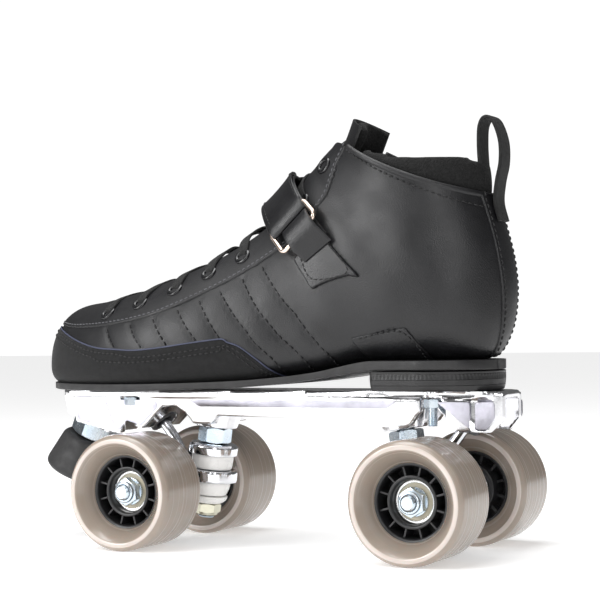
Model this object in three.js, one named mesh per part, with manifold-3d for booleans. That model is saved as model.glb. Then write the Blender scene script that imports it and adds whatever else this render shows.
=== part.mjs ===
// Quad roller skate, the left one of a pair: boot, cast plate, two sprung trucks, four wheels and
// a toe stop. Millimetres, +Z up, the toe points along -X and the outer side of the foot is -Y.
// Truck and boot sizes are measured from the middle of the wheelbase at ground level.

import * as THREE from 'three';
import { mergeVertices } from 'three/addons/utils/BufferGeometryUtils.js';
import Module from 'manifold-3d';

const wasm = await Module();
wasm.setup();

// ---- Driving dimensions ----

const BOX_CENTRE_SHIFT = 24.265; // moves the middle of the whole skate's box onto the origin
const GAP = 0.3; // clearance between pieces that touch

const WHEELBASE = 166;
const TRACK = 86; // between the middles of a left and a right wheel
const WHEEL_RADIUS = 31;
const WHEEL_WIDTH = 38;
const WHEEL_SEGMENTS = 28;
const LIP_RADIUS = 26.5; // where the flat lip ends and the cone starts
const CORE_RADIUS = 19.5; // hub and tyre meet here
const CORE_DEPTH = 9; // depth of the hub's rim below the outer lip
const INNER_CORE_DEPTH = 5;
const SPOKES = 12;

const BEARING_RADIUS = 11;
const BEARING_WIDTH = 7;
const BEARING_GAP = 10.3; // length of the spacer between the two bearings
const OUTER_BEARING_DEPTH = 15; // from the wheel's outer face to the outer bearing's face
const AXLE_RADIUS = 4;
const AXLE_NUT_FLATS = 13;
const AXLE_NUT_LENGTH = 8;
const AXLE_TIP = 2;

const KINGPIN_RADIUS = 4.75;
const KINGPIN_TILT = THREE.MathUtils.degToRad(8);
const YOKE_X = 61.2; // middle of the ring round the kingpin, from the middle of the wheelbase
const YOKE_Z = 37;
const YOKE_RADIUS = 15;
const YOKE_THICKNESS = 6.4;
const PIVOT_BALL = new THREE.Vector3(94.5, 0, 69.5); // centre of the pivot pin's ball
const PIVOT_TILT = THREE.MathUtils.degToRad(38); // pin direction, away from vertical
const PIVOT_BALL_RADIUS = 4.5;
const PIVOT_CUP_RADIUS = 8;

const PLATE_TOP = 84;
const FLANGE_THICKNESS = 3.6;
const FLANGE_HALF_WIDTH = 22;
const WALL_OUTER = 20;
const WALL_INNER = 15;
const PLATE_BOLTS = [[-101, 'front'], [80.5, 'rear']];
const PLATE_BOLT_Y = 17.6;

const STOP_TILT = THREE.MathUtils.degToRad(22);
const STOP_BASE = new THREE.Vector3(-147, 0, 35); // middle of the toe stop's working face
const STOP_STEM_RADIUS = 7.9;
const STOP_NUT_FLATS = 25;

const LEATHER = 4.5; // thickness of the boot's wall with its lining
const SOLE_FALL = 2.2; // thickness of the outsole
const HEEL_WELT = 3.6; // and over the heel block

// ---- Helpers ----

const Y_AXIS = new THREE.Vector3(0, 1, 0);

function closed(geometry) {
  const bare = new THREE.BufferGeometry();
  const source = geometry.clone();
  bare.setAttribute('position', source.getAttribute('position'));
  if (source.index) bare.setIndex(source.index);
  const merged = mergeVertices(bare, 1e-4);
  const position = merged.getAttribute('position');
  const [a, b, c] = [new THREE.Vector3(), new THREE.Vector3(), new THREE.Vector3()];
  const kept = [];
  let volume = 0;
  for (let i = 0; i < merged.index.count; i += 3) {
    const [p, q, r] = [0, 1, 2].map((k) => merged.index.getX(i + k));
    if (p === q || q === r || r === p) continue;
    a.fromBufferAttribute(position, p);
    b.fromBufferAttribute(position, q);
    c.fromBufferAttribute(position, r);
    volume += a.dot(b.cross(c));
    kept.push(p, q, r);
  }
  if (volume < 0) kept.reverse();
  merged.setIndex(kept);
  return merged;
}

function solid(geometry) {
  const merged = closed(geometry);
  return new wasm.Manifold(new wasm.Mesh({
    numProp: 3,
    vertProperties: new Float32Array(merged.getAttribute('position').array),
    triVerts: new Uint32Array(merged.index.array),
  }));
}

function surface(manifold) {
  const out = manifold.getMesh();
  const geometry = new THREE.BufferGeometry();
  geometry.setAttribute('position', new THREE.BufferAttribute(new Float32Array(out.vertProperties), 3));
  geometry.setIndex(new THREE.BufferAttribute(new Uint32Array(out.triVerts), 1));
  return geometry;
}

const join = (...solids) => solids.reduce((whole, next) => whole.add(next));

// A ring or a pin turned about Y: the profile is [radius, along] pairs, closed on itself.
function turned(profile, segments, turn = 0) {
  const points = [...profile, profile[0]].map(([r, along]) => new THREE.Vector2(r, along));
  return new THREE.LatheGeometry(points, segments, turn, Math.PI * 2);
}

// A profile turned about the line that starts at a point and runs along a direction.
function turnedOn(start, direction, profile, segments) {
  const geometry = turned(profile, segments);
  const turn = new THREE.Quaternion().setFromUnitVectors(Y_AXIS, direction.clone().normalize());
  return geometry.applyQuaternion(turn).translate(start.x, start.y, start.z);
}

// A round rod between two points, with a radius at each end.
function rod(from, fromRadius, to, toRadius, segments = 10) {
  const length = from.distanceTo(to);
  const profile = [[0, 0], [fromRadius, 0], [toRadius, length], [0, length]];
  return solid(turnedOn(from, to.clone().sub(from), profile, segments));
}

function circle(radius, segments, turn = 0) {
  const points = [];
  for (let i = 0; i < segments; i++) {
    const angle = turn + (i * Math.PI * 2) / segments;
    points.push(new THREE.Vector2(radius * Math.cos(angle), radius * Math.sin(angle)));
  }
  return points;
}

// A hexagon nut with a round bore, standing on a point and rising along a direction.
function nut(start, direction, flats, boreRadius, height) {
  const shape = new THREE.Shape(circle(flats / Math.sqrt(3), 6));
  shape.holes.push(new THREE.Path(circle(boreRadius, 12)));
  const geometry = new THREE.ExtrudeGeometry(shape, { depth: height, bevelEnabled: false });
  const turn = new THREE.Quaternion().setFromUnitVectors(new THREE.Vector3(0, 0, 1), direction);
  return geometry.applyQuaternion(turn).translate(start.x, start.y, start.z);
}

// An outline drawn in side view, [x, z] pairs, made solid from one y to another.
function sideBlock(outline, fromY, toY) {
  const shape = new THREE.Shape(outline.map(([x, z]) => new THREE.Vector2(x, z)));
  const geometry = new THREE.ExtrudeGeometry(shape, { depth: toY - fromY, bevelEnabled: false });
  return solid(geometry.rotateX(Math.PI / 2).translate(0, toY, 0));
}

// An outline drawn from above, [x, y] pairs, made solid from one height to another.
function topBlock(outline, fromZ, toZ) {
  const shape = new THREE.Shape(outline.map(([x, y]) => new THREE.Vector2(x, y)));
  const geometry = new THREE.ExtrudeGeometry(shape, { depth: toZ - fromZ, bevelEnabled: false });
  return solid(geometry.translate(0, 0, fromZ));
}

function finish(color, roughness, metalness = 0) {
  return new THREE.MeshStandardMaterial({ color, roughness, metalness });
}

const FINISH = {
  leather: () => finish(0x17171a, 0.42),
  fabric: () => finish(0x121214, 0.95),
  webbing: () => finish(0x141416, 0.8),
  rubber: () => finish(0x27272a, 0.6),
  urethane: () => finish(0xa89b8f, 0.3),
  core: () => finish(0x151516, 0.4),
  steel: () => finish(0xc8ccd0, 0.25, 1),
  chrome: () => finish(0xdfe3e8, 0.08, 1),
  zinc: () => finish(0xc9d3da, 0.3, 1),
  brassy: () => finish(0xc9c3a4, 0.35, 1),
  aluminium: () => finish(0xd9d9de, 0.18, 1),
  bushing: () => finish(0xe9e8e6, 0.35),
  ring: () => finish(0xc9ab95, 0.25, 1),
};

function piece(name, geometry, material) {
  const mesh = new THREE.Mesh(closed(geometry), material);
  mesh.name = name;
  return mesh;
}

// ---- Wheels: the axis is Y and the outer face points along -Y ----

const outerFace = -WHEEL_WIDTH / 2;
const innerFace = WHEEL_WIDTH / 2;
const outerBearingFace = outerFace + OUTER_BEARING_DEPTH;
const innerBearingFace = outerBearingFace + 2 * BEARING_WIDTH + BEARING_GAP;
const boreRadius = AXLE_RADIUS + GAP;

// The tyre's flats lie on the stated radius, so that one of them rests on the ground.
function tyreGeometry() {
  const onFlat = 1 / Math.cos(Math.PI / WHEEL_SEGMENTS);
  const lip = 3;
  const profile = [
    [CORE_RADIUS, outerFace + CORE_DEPTH],
    [LIP_RADIUS, outerFace],
    [WHEEL_RADIUS - lip, outerFace],
    [WHEEL_RADIUS, outerFace + lip],
    [WHEEL_RADIUS, innerFace - lip],
    [WHEEL_RADIUS - lip, innerFace],
    [LIP_RADIUS, innerFace],
    [CORE_RADIUS, innerFace - INNER_CORE_DEPTH],
  ].map(([r, along]) => [r * onFlat, along]);
  return turned(profile, WHEEL_SEGMENTS, Math.PI / WHEEL_SEGMENTS);
}

// The core is a rim and a bearing housing joined by spokes, with windows open right through.
function hubGeometry() {
  const rimStart = outerFace + CORE_DEPTH;
  const rimEnd = innerFace - INNER_CORE_DEPTH;
  const [housingRadius, rimRadius, halfSpoke] = [13.2, 17.8, 0.7];
  const shape = new THREE.Shape(circle(CORE_RADIUS - GAP, 20));
  shape.holes.push(new THREE.Path(circle(BEARING_RADIUS + GAP, 14)));
  const step = (Math.PI * 2) / SPOKES;
  for (let i = 0; i < SPOKES; i++) {
    const corner = (radius, side) => {
      const angle = (i + 0.5) * step + side * (step / 2 - halfSpoke / radius);
      return new THREE.Vector2(radius * Math.cos(angle), radius * Math.sin(angle));
    };
    shape.holes.push(new THREE.Path([corner(housingRadius, -1), corner(rimRadius, -1), corner(rimRadius, 1),
      corner(housingRadius, 1)]));
  }
  const spoked = new THREE.ExtrudeGeometry(shape, { depth: rimEnd - rimStart, bevelEnabled: false });
  const housing = turned([[BEARING_RADIUS + GAP, rimEnd - 2], [housingRadius - 0.1, rimEnd - 2],
    [housingRadius - 0.1, innerFace], [BEARING_RADIUS + GAP, innerFace]], 14);
  return surface(join(solid(spoked.rotateX(Math.PI / 2).translate(0, rimEnd, 0)), solid(housing)));
}

function bearingGeometry() {
  const sides = 16;
  const bore = boreRadius / Math.cos(Math.PI / sides);
  return turned([[bore, 0], [BEARING_RADIUS - 0.1, 0], [BEARING_RADIUS - 0.1, BEARING_WIDTH],
    [bore, BEARING_WIDTH]], sides);
}

function axleNutGeometry() {
  const out = new THREE.Vector3(0, -1, 0);
  const seat = new THREE.Vector3(0, outerBearingFace - GAP, 0);
  const collarThickness = 1.4;
  const body = nut(seat, out, AXLE_NUT_FLATS, boreRadius + 0.1, AXLE_NUT_LENGTH);
  const collar = turned([[boreRadius + 0.1, seat.y - collarThickness], [7.6, seat.y - collarThickness],
    [7.6, seat.y], [boreRadius + 0.1, seat.y]], 12);
  return surface(join(solid(body), solid(collar)));
}

function wheel(prefix) {
  const group = new THREE.Group();
  group.add(piece(`${prefix}_tyre`, tyreGeometry(), FINISH.urethane()));
  group.add(piece(`${prefix}_hub`, hubGeometry(), FINISH.core()));
  const outer = piece(`${prefix}_bearing_outer`, bearingGeometry(), FINISH.steel());
  outer.position.y = outerBearingFace;
  const inner = piece(`${prefix}_bearing_inner`, bearingGeometry(), FINISH.steel());
  inner.position.y = innerBearingFace - BEARING_WIDTH;
  group.add(outer, inner);
  group.add(piece(`${prefix}_axle_nut`, axleNutGeometry(), FINISH.zinc()));
  return group;
}

// ---- Trucks: drawn for the rear of the skate; the front one is turned half a turn about Z ----

const yokeCentre = new THREE.Vector3(YOKE_X, 0, YOKE_Z);
const kingpinUp = new THREE.Vector3(-Math.sin(KINGPIN_TILT), 0, Math.cos(KINGPIN_TILT));
const onKingpin = (along) => yokeCentre.clone().addScaledVector(kingpinUp, along);
const axleCentre = new THREE.Vector3(WHEELBASE / 2, 0, WHEEL_RADIUS);
const pinUp = new THREE.Vector3(Math.sin(PIVOT_TILT), 0, Math.cos(PIVOT_TILT));
const halfYoke = YOKE_THICKNESS / 2;

// Heights along the kingpin, measured from the middle of the yoke ring.
const KINGPIN_STACK = {
  end: -23.9,
  lockNut: [-22.2, -16.2],
  lowerCup: [-15.9, -11.5],
  lowerBushing: [-11.2, -halfYoke - GAP],
  upperBushing: [halfYoke + GAP, 15.5],
  upperCup: [11.4, 17.6],
  jamNut: [17.9, 26.4],
  boss: 26.8,
  top: 40,
};

function kingpinRing(profile, segments = 16) {
  return turnedOn(yokeCentre, kingpinUp, profile, segments);
}

function hangerGeometry() {
  const beamEnd = TRACK / 2 - innerBearingFace - 0.5;
  const beam = [[0, -beamEnd], [7, -beamEnd], [8.4, -10], [8.4, 10], [7, beamEnd], [0, beamEnd]];
  const ring = kingpinRing([[0, -halfYoke], [YOKE_RADIUS, -halfYoke], [YOKE_RADIUS, halfYoke],
    [0, halfYoke]], 18);
  const arm = sideBlock([[70, 35.6], [75.4, 36.4], [77, 30], [83, 25], [88, 34], [82, 41.5], [74.6, 42],
    [70, 41]], -8.5, 8.5);
  const neckTop = PIVOT_BALL.clone().addScaledVector(pinUp, -17);
  const neckBend = new THREE.Vector3(80.6, 0, 47);
  const neck = join(
    rod(new THREE.Vector3(81, 0, 34), 7.5, neckBend, 4.8),
    solid(new THREE.SphereGeometry(4.85, 8, 5).translate(neckBend.x, 0, neckBend.z)),
    rod(neckBend, 4.7, neckTop, 3.2),
    solid(new THREE.SphereGeometry(3.25, 8, 5).translate(neckTop.x, 0, neckTop.z)),
    rod(neckTop, 3.1, PIVOT_BALL, 3.1),
    solid(new THREE.SphereGeometry(PIVOT_BALL_RADIUS, 10, 6).translate(PIVOT_BALL.x, 0, PIVOT_BALL.z)),
  );
  const body = join(solid(turnedOn(axleCentre, Y_AXIS, beam, 16)), solid(ring), arm, neck);
  const kingpinHole = solid(kingpinRing([[0, -30], [6.6, -30], [6.6, 30], [0, 30]], 16));
  const axleHole = rod(new THREE.Vector3(axleCentre.x, -60, axleCentre.z), boreRadius + 0.1,
    new THREE.Vector3(axleCentre.x, 60, axleCentre.z), boreRadius + 0.1, 16);
  return surface(body.subtract(kingpinHole).subtract(axleHole));
}

function axleGeometry() {
  const reach = TRACK / 2 - outerBearingFace + AXLE_NUT_LENGTH + AXLE_TIP;
  const profile = [[0, -reach], [AXLE_RADIUS - 0.8, -reach], [AXLE_RADIUS, 0.8 - reach],
    [AXLE_RADIUS, reach - 0.8], [AXLE_RADIUS - 0.8, reach], [0, reach]];
  return turnedOn(axleCentre, Y_AXIS, profile, 16);
}

function bushingProfile([low, high], lowRadius, middleRadius, highRadius) {
  const bore = KINGPIN_RADIUS + GAP + 0.15;
  return [[bore, low], [lowRadius, low], [middleRadius, (low + high) / 2], [highRadius, high], [bore, high]];
}

// A dished washer: a flat disc and a skirt that holds the bushing's end.
function upperCupProfile() {
  const [skirt, top] = KINGPIN_STACK.upperCup;
  const bore = KINGPIN_RADIUS + GAP + 0.15;
  return [[bore, top - 1.6], [11.9, top - 1.6], [11.9, skirt], [13.2, skirt - 0.4], [13.4, top - 1.6],
    [12.2, top], [bore, top]];
}

function truck(prefix) {
  const group = new THREE.Group();
  const stack = KINGPIN_STACK;
  const bore = KINGPIN_RADIUS + GAP + 0.15;
  const add = (name, geometry, material) => group.add(piece(`${prefix}_${name}`, geometry, material));
  add('hanger', hangerGeometry(), FINISH.chrome());
  add('axle', axleGeometry(), FINISH.zinc());
  add('kingpin', kingpinRing([[0, stack.end], [KINGPIN_RADIUS, stack.end], [KINGPIN_RADIUS, stack.top],
    [0, stack.top]], 18), FINISH.zinc());
  add('kingpin_jam_nut', nut(onKingpin(stack.jamNut[0]), kingpinUp, 16, bore,
    stack.jamNut[1] - stack.jamNut[0]), FINISH.zinc());
  add('upper_cup_washer', kingpinRing(upperCupProfile(), 18), FINISH.chrome());
  add('upper_bushing', kingpinRing(bushingProfile(stack.upperBushing, 11.3, 11.5, 11.3)),
    FINISH.bushing());
  add('lower_bushing', kingpinRing(bushingProfile(stack.lowerBushing, 9.9, 11, 11.5)), FINISH.bushing());
  const [cupLow, cupHigh] = stack.lowerCup;
  add('lower_cup_washer', kingpinRing([[bore, cupLow], [8.6, cupLow], [10.4, cupHigh], [bore, cupHigh]]),
    FINISH.bushing());
  add('kingpin_lock_nut', nut(onKingpin(stack.lockNut[0]), kingpinUp, 13, bore,
    stack.lockNut[1] - stack.lockNut[0]), FINISH.brassy());
  const hollow = PIVOT_BALL_RADIUS + 0.45;
  add('pivot_cup', turnedOn(PIVOT_BALL, pinUp, [[hollow, -5.4], [PIVOT_CUP_RADIUS, -5.4],
    [PIVOT_CUP_RADIUS, 8], [0, 8], [0, 5.6], [hollow, 4.2]], 16), FINISH.bushing());
  return group;
}

// ---- Plate ----

// The cast side wall in side view, from the toe stop's boss to the rear pivot boss.
const FRONT_WALL = [[-140.5, PLATE_TOP - 1], [-137.5, 66], [-108.5, 59.5], [-102.5, 66], [-93.3, 62.7],
  [-80, 75], [-71, 75.5], [-65, 71.5], [-60.5, 66]];
const REAR_WALL = [[60, 66], [69, 66.8], [72.5, 71.8], [79, 77], [90, 78], [102.1, 63.5], [110.5, 63],
  [117, 70], [117, PLATE_TOP - 1]];
const RAIL_BOTTOM = 70;

function plateGeometry() {
  const flange = topBlock([[-151, -12], [-141, -FLANGE_HALF_WIDTH], [110, -FLANGE_HALF_WIDTH],
    [117.4, -14], [117.4, 14], [110, FLANGE_HALF_WIDTH], [-141, FLANGE_HALF_WIDTH], [-151, 12]],
  PLATE_TOP - FLANGE_THICKNESS, PLATE_TOP);
  const wall = [...FRONT_WALL, [-50, 65.5], [-45, RAIL_BOTTOM], [44, RAIL_BOTTOM], [50, 65.5], ...REAR_WALL];
  const walls = join(sideBlock(wall, -WALL_OUTER, -WALL_INNER), sideBlock(wall, WALL_INNER, WALL_OUTER));

  const stopUp = new THREE.Vector3(Math.sin(STOP_TILT), 0, Math.cos(STOP_TILT));
  const onStop = (along) => STOP_BASE.clone().addScaledVector(stopUp, along);
  const underBoss = onStop(stopStack.boss);
  const slope = -Math.tan(STOP_TILT);
  const bossLine = (x) => underBoss.z + (x - underBoss.x) * slope;
  const stopBoss = sideBlock([[-149, 81], [-146.5, bossLine(-146.5)], [-119, bossLine(-119)], [-112, 81]],
    -WALL_INNER, WALL_INNER);

  const kingpinBoss = (side) => sideBlock([[side * 48, 82], [side * 49, 70], [side * 50, 66], [side * 65, 68],
    [side * 70, 82]], -WALL_INNER, WALL_INNER);
  const kingpinFoot = (side) => {
    const up = new THREE.Vector3(side * kingpinUp.x, 0, kingpinUp.z);
    const foot = new THREE.Vector3(side * YOKE_X, 0, YOKE_Z);
    const low = foot.clone().addScaledVector(up, KINGPIN_STACK.boss);
    return rod(low, 12, foot.clone().addScaledVector(up, KINGPIN_STACK.boss + 10), 14.5, 16);
  };
  const pivotBoss = (side, front) => sideBlock([[side * 80, 82], [side * 80, 75.4], [side * 93.3, 62.9],
    [side * 103, 63.2], [side * front, 82]], -WALL_INNER, WALL_INNER);

  const body = join(flange, walls, stopBoss, kingpinBoss(1), kingpinBoss(-1), kingpinFoot(1),
    kingpinFoot(-1), pivotBoss(1, 108), pivotBoss(-1, 106));

  const cuts = [rod(onStop(20), STOP_STEM_RADIUS + GAP, onStop(70), STOP_STEM_RADIUS + GAP, 16)];
  for (const side of [1, -1]) {
    const mirrored = (v) => new THREE.Vector3(side * v.x, v.y, v.z);
    const threadRadius = KINGPIN_RADIUS + GAP + 0.1;
    const threadEnd = mirrored(onKingpin(KINGPIN_STACK.top + 0.5));
    cuts.push(rod(mirrored(onKingpin(20)), threadRadius, threadEnd, threadRadius, 14));
    const pocket = (along) => mirrored(PIVOT_BALL.clone().addScaledVector(pinUp, along));
    cuts.push(rod(pocket(-20), PIVOT_CUP_RADIUS + GAP, pocket(8.4), PIVOT_CUP_RADIUS + GAP, 16));
  }
  for (const [x] of PLATE_BOLTS) {
    for (const side of [1, -1]) {
      const y = side * PLATE_BOLT_Y;
      const recess = topBlock([[x - 6, y - 5.2], [x + 6, y - 5.2], [x + 6, y + 5.2], [x - 6, y + 5.2]],
        55, PLATE_TOP - FLANGE_THICKNESS);
      cuts.push(recess);
      cuts.push(rod(new THREE.Vector3(x, y, 50), 2.8, new THREE.Vector3(x, y, 100), 2.8, 10));
    }
  }
  return surface(cuts.reduce((whole, cut) => whole.subtract(cut), body));
}

// A countersunk plate bolt with its nut, which is run on under the flange.
function plateBoltGeometry() {
  const nutTop = PLATE_TOP - FLANGE_THICKNESS - GAP;
  const bolt = turned([[0, 70.5], [2.5, 70.5], [2.5, PLATE_TOP - 0.5], [0, PLATE_TOP - 0.5]], 10);
  const hexagon = nut(new THREE.Vector3(0, 0, nutTop - 4.4), new THREE.Vector3(0, 0, 1), 8, 2.2, 4.4);
  return surface(join(solid(bolt.rotateX(Math.PI / 2)), solid(hexagon)));
}

// ---- Toe stop: heights along the stem, measured from the middle of the working face ----

const stopStack = { pad: 23, nut: [23.6, 32.6], boss: 33.1, top: 46.5 };

function toeStop() {
  const group = new THREE.Group();
  group.position.copy(STOP_BASE);
  group.rotation.y = STOP_TILT;
  const upward = new THREE.Vector3(0, 0, 1);
  const bore = STOP_STEM_RADIUS + GAP;
  const [nutLow, nutHigh] = stopStack.nut;
  const pad = turned([[0, 0], [20.5, 0], [22.4, 2.4], [22.2, 4], [17.6, 21.6], [16, stopStack.pad],
    [bore, stopStack.pad], [bore, 8], [0, 8]], 28);
  const stemRadius = STOP_STEM_RADIUS - 0.2;
  const stem = turned([[0, 8.4], [stemRadius, 8.4], [stemRadius, stopStack.top], [0, stopStack.top]], 20);
  const lockNut = nut(new THREE.Vector3(0, 0, nutLow), upward, STOP_NUT_FLATS, bore, nutHigh - nutLow);
  group.add(piece('toe_stop_pad', pad.rotateX(Math.PI / 2), FINISH.rubber()));
  group.add(piece('toe_stop_stem', stem.rotateX(Math.PI / 2), FINISH.zinc()));
  group.add(piece('toe_stop_lock_nut', lockNut, FINISH.zinc()));
  return group;
}

// ---- Boot ----

// Each station joins a point on the top line to one on the bottom line, and the sections fan round
// the ankle from the toe's tip to the collar. Columns: top x, top z, bottom x, bottom z, half width,
// middle y, height of the widest line (0 bottom to 1 top), squareness below it and above it.
const STATIONS = [
  [-159.4, 107, -159.8, 96, 7, 6, 0.5, 2, 2],
  [-157, 117, -158.2, 91, 16, 6, 0.42, 2.6, 2],
  [-150.5, 126, -153.5, 88, 25, 5, 0.36, 3.2, 2.1],
  [-140, 131, -144, 87.2, 33, 4, 0.33, 3.6, 2.2],
  [-122, 133.5, -126, 87, 39.5, 2.5, 0.32, 4, 2.2],
  [-100, 138.5, -104, 87, 44, 1, 0.31, 4, 2.2],
  [-75, 146, -78, 87.3, 46, 0, 0.3, 4, 2.1],
  [-52, 155.5, -48, 88, 45, 0, 0.3, 3.8, 2],
  [-32, 167, -14, 89.5, 41, 0, 0.3, 3.4, 1.95],
  [-14, 179.5, 20, 93, 37, 0, 0.34, 3.2, 1.95],
  [0, 192.5, 52, 98.9, 36, 0, 0.4, 3, 2],
  [6, 202, 82, 99, 36, 0, 0.45, 2.6, 2],
  [10, 207, 105, 100.5, 35.5, 0, 0.46, 2.3, 2],
  [13.5, 210.7, 114.6, 113, 35, 0, 0.47, 2.1, 2],
  [17, 213.4, 118.2, 131, 34, 0, 0.48, 2, 2],
  [20, 215.4, 117.2, 149, 33, 0, 0.5, 2, 2],
  [22.7, 217, 113, 167, 32.5, 0, 0.52, 2, 2],
  [25, 218, 108.6, 182.5, 32.5, 0, 0.54, 2, 2],
];
const COLLAR = STATIONS.length - 1;
const COLLAR_RISE = 12; // how far the sections carry on above the topline
const TOPLINE_SAG = 4; // how far the topline dips between its front and its back

const collarEdge = new THREE.Vector2(STATIONS[COLLAR][0] - STATIONS[COLLAR][2],
  STATIONS[COLLAR][1] - STATIONS[COLLAR][3]).normalize();
const ABOVE_COLLAR = STATIONS[COLLAR].map((value, i) => {
  if (i > 3) return value;
  return value + COLLAR_RISE * (i % 2 === 0 ? collarEdge.y : -collarEdge.x);
});
const GUIDE = [...STATIONS, ABOVE_COLLAR];

// The value of every column at a station number that need not be whole.
function station(s) {
  const i = Math.min(Math.max(Math.floor(s), 0), GUIDE.length - 2);
  const t = s - i;
  const at = (k) => GUIDE[Math.min(Math.max(k, 0), GUIDE.length - 1)];
  const last = i === GUIDE.length - 2 || i === COLLAR - 1;
  return at(i).map((p1, c) => {
    const p0 = at(i - 1)[c];
    const p2 = at(i + 1)[c];
    const p3 = last ? 2 * p2 - p1 : at(i + 2)[c];
    return p1 + 0.5 * t * (p2 - p0 + t * (2 * p0 - 5 * p1 + 4 * p2 - p3 + t * (3 * (p1 - p2) + p3 - p0)));
  });
}

// A point on the boot: station, angle in degrees from the top (negative is the outer side) and depth
// below the leather's outer surface.
function onBoot(s, angle, depth = 0, soleDepth = depth) {
  const [topX, topZ, bottomX, bottomZ, half, middle, widest, below, above] = station(s);
  const top = new THREE.Vector2(topX, topZ);
  const bottom = new THREE.Vector2(bottomX, bottomZ);
  const along = top.clone().sub(bottom).normalize();
  top.addScaledVector(along, -depth);
  bottom.addScaledVector(along, soleDepth);
  const turn = THREE.MathUtils.degToRad(angle);
  const power = 2 / (Math.abs(angle) < 90 ? above : below);
  const out = Math.sign(Math.sin(turn)) * Math.abs(Math.sin(turn)) ** power;
  const up = Math.sign(Math.cos(turn)) * Math.abs(Math.cos(turn)) ** power;
  const height = widest + (up > 0 ? 1 - widest : widest) * up;
  const place = bottom.clone().lerp(top, height);
  const sag = TOPLINE_SAG * 4 * height * (1 - height) * THREE.MathUtils.smoothstep(s, COLLAR - 4, COLLAR);
  place.x -= sag * collarEdge.y;
  place.y += sag * collarEdge.x;
  return new THREE.Vector3(place.x, middle + (half - depth) * out, place.y);
}

// A closed solid between two grids of points with the same size. Rows are closed or open.
function shell(rows, columns, outer, inner, ring = false) {
  const points = [];
  const index = [];
  const width = ring ? columns : columns + 1;
  for (const layer of [outer, inner]) {
    for (let i = 0; i <= rows; i++) {
      for (let j = 0; j < width; j++) points.push(layer(i / rows, j / columns));
    }
  }
  const at = (layer, i, j) => layer * (rows + 1) * width + i * width + (j % width);
  const quad = (a, b, c, d) => index.push(a, b, c, a, c, d);
  for (let i = 0; i < rows; i++) {
    for (let j = 0; j < columns; j++) {
      quad(at(0, i, j), at(0, i + 1, j), at(0, i + 1, j + 1), at(0, i, j + 1));
      quad(at(1, i, j), at(1, i, j + 1), at(1, i + 1, j + 1), at(1, i + 1, j));
    }
  }
  for (let j = 0; j < columns; j++) {
    quad(at(0, 0, j), at(0, 0, j + 1), at(1, 0, j + 1), at(1, 0, j));
    quad(at(0, rows, j), at(1, rows, j), at(1, rows, j + 1), at(0, rows, j + 1));
  }
  if (!ring) {
    for (let i = 0; i < rows; i++) {
      quad(at(0, i, 0), at(1, i, 0), at(1, i + 1, 0), at(0, i + 1, 0));
      quad(at(0, i, columns), at(0, i + 1, columns), at(1, i + 1, columns), at(1, i, columns));
    }
  }
  const geometry = new THREE.BufferGeometry().setFromPoints(points);
  geometry.setIndex(index);
  return geometry;
}

// A tube that closes on itself.
function tubeLoop(steps, sides, layer) {
  const points = [];
  const index = [];
  for (let i = 0; i < steps; i++) {
    for (let j = 0; j < sides; j++) points.push(layer(i / steps, j / sides));
  }
  const at = (i, j) => (i % steps) * sides + (j % sides);
  for (let i = 0; i < steps; i++) {
    for (let j = 0; j < sides; j++) {
      index.push(at(i, j), at(i + 1, j), at(i + 1, j + 1), at(i, j), at(i + 1, j + 1), at(i, j + 1));
    }
  }
  const geometry = new THREE.BufferGeometry().setFromPoints(points);
  geometry.setIndex(index);
  return geometry;
}

// A solid made of full sections from one station to another, closed at both ends.
function sections(from, to, steps, columns, depth, soleDepth) {
  const points = [];
  const index = [];
  for (let i = 0; i <= steps; i++) {
    const s = THREE.MathUtils.lerp(from, to, i / steps);
    for (let j = 0; j < columns; j++) points.push(onBoot(s, -180 + (360 * j) / columns, depth, soleDepth));
  }
  for (let i = 0; i < steps; i++) {
    for (let j = 0; j < columns; j++) {
      const [a, b] = [i * columns + j, i * columns + ((j + 1) % columns)];
      index.push(a, a + columns, b + columns, a, b + columns, b);
    }
  }
  for (const row of [0, steps]) {
    const middle = new THREE.Vector3();
    for (let j = 0; j < columns; j++) middle.addScaledVector(points[row * columns + j], 1 / columns);
    points.push(middle);
    for (let j = 0; j < columns; j++) {
      const [a, b] = [row * columns + j, row * columns + ((j + 1) % columns)];
      index.push(...(row === 0 ? [points.length - 1, a, b] : [points.length - 1, b, a]));
    }
  }
  const geometry = new THREE.BufferGeometry().setFromPoints(points);
  geometry.setIndex(index);
  return geometry;
}

// The throat between the eyestays, seen from above: x and half width from the toe to the ankle.
const THROAT = [[-119, 7], [-112, 15], [-95, 20.5], [-40, 20.5], [20, 15], [70, 15]];

function upperGeometry() {
  const outside = solid(sections(0, COLLAR, 25, 24, 0, 0));
  const inside = solid(sections(2, COLLAR + 0.9, 24, 18, LEATHER, LEATHER));
  const slotTop = [];
  const slotBottom = [];
  for (const s of [4.3, 5, 6, 7, 8, 9, 10, 12, 14, 17]) {
    const [x, z] = station(s);
    slotTop.push([x - 10, z + 22]);
    slotBottom.unshift([x + 7, z - 14]);
  }
  const along = sideBlock([...slotTop, ...slotBottom], -30, 30);
  const edge = (side) => THROAT.map(([x, half]) => [x, side * half]);
  const wedge = topBlock([...edge(-1), ...edge(1).reverse()], 60, 260);
  return surface(outside.subtract(inside).subtract(along.intersect(wedge)));
}

// The tongue lies just under the leather and stands up out of the throat.
function tongueGeometry() {
  const last = COLLAR + 0.95;
  const layer = (depth) => (i, j) => {
    const s = THREE.MathUtils.lerp(4.6, last, i);
    const half = THREE.MathUtils.lerp(36, 42, i);
    return onBoot(s, THREE.MathUtils.lerp(-half, half, j), depth);
  };
  return shell(14, 6, layer(LEATHER + 1.2), layer(LEATHER + 4.8));
}

// The padded collar stands on the leather's top edge, from one side of the tongue round the heel.
const COLLAR_PAD = { frontAngle: 62, rearRise: 18.5, frontRise: 4, thickness: 8 };

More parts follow.
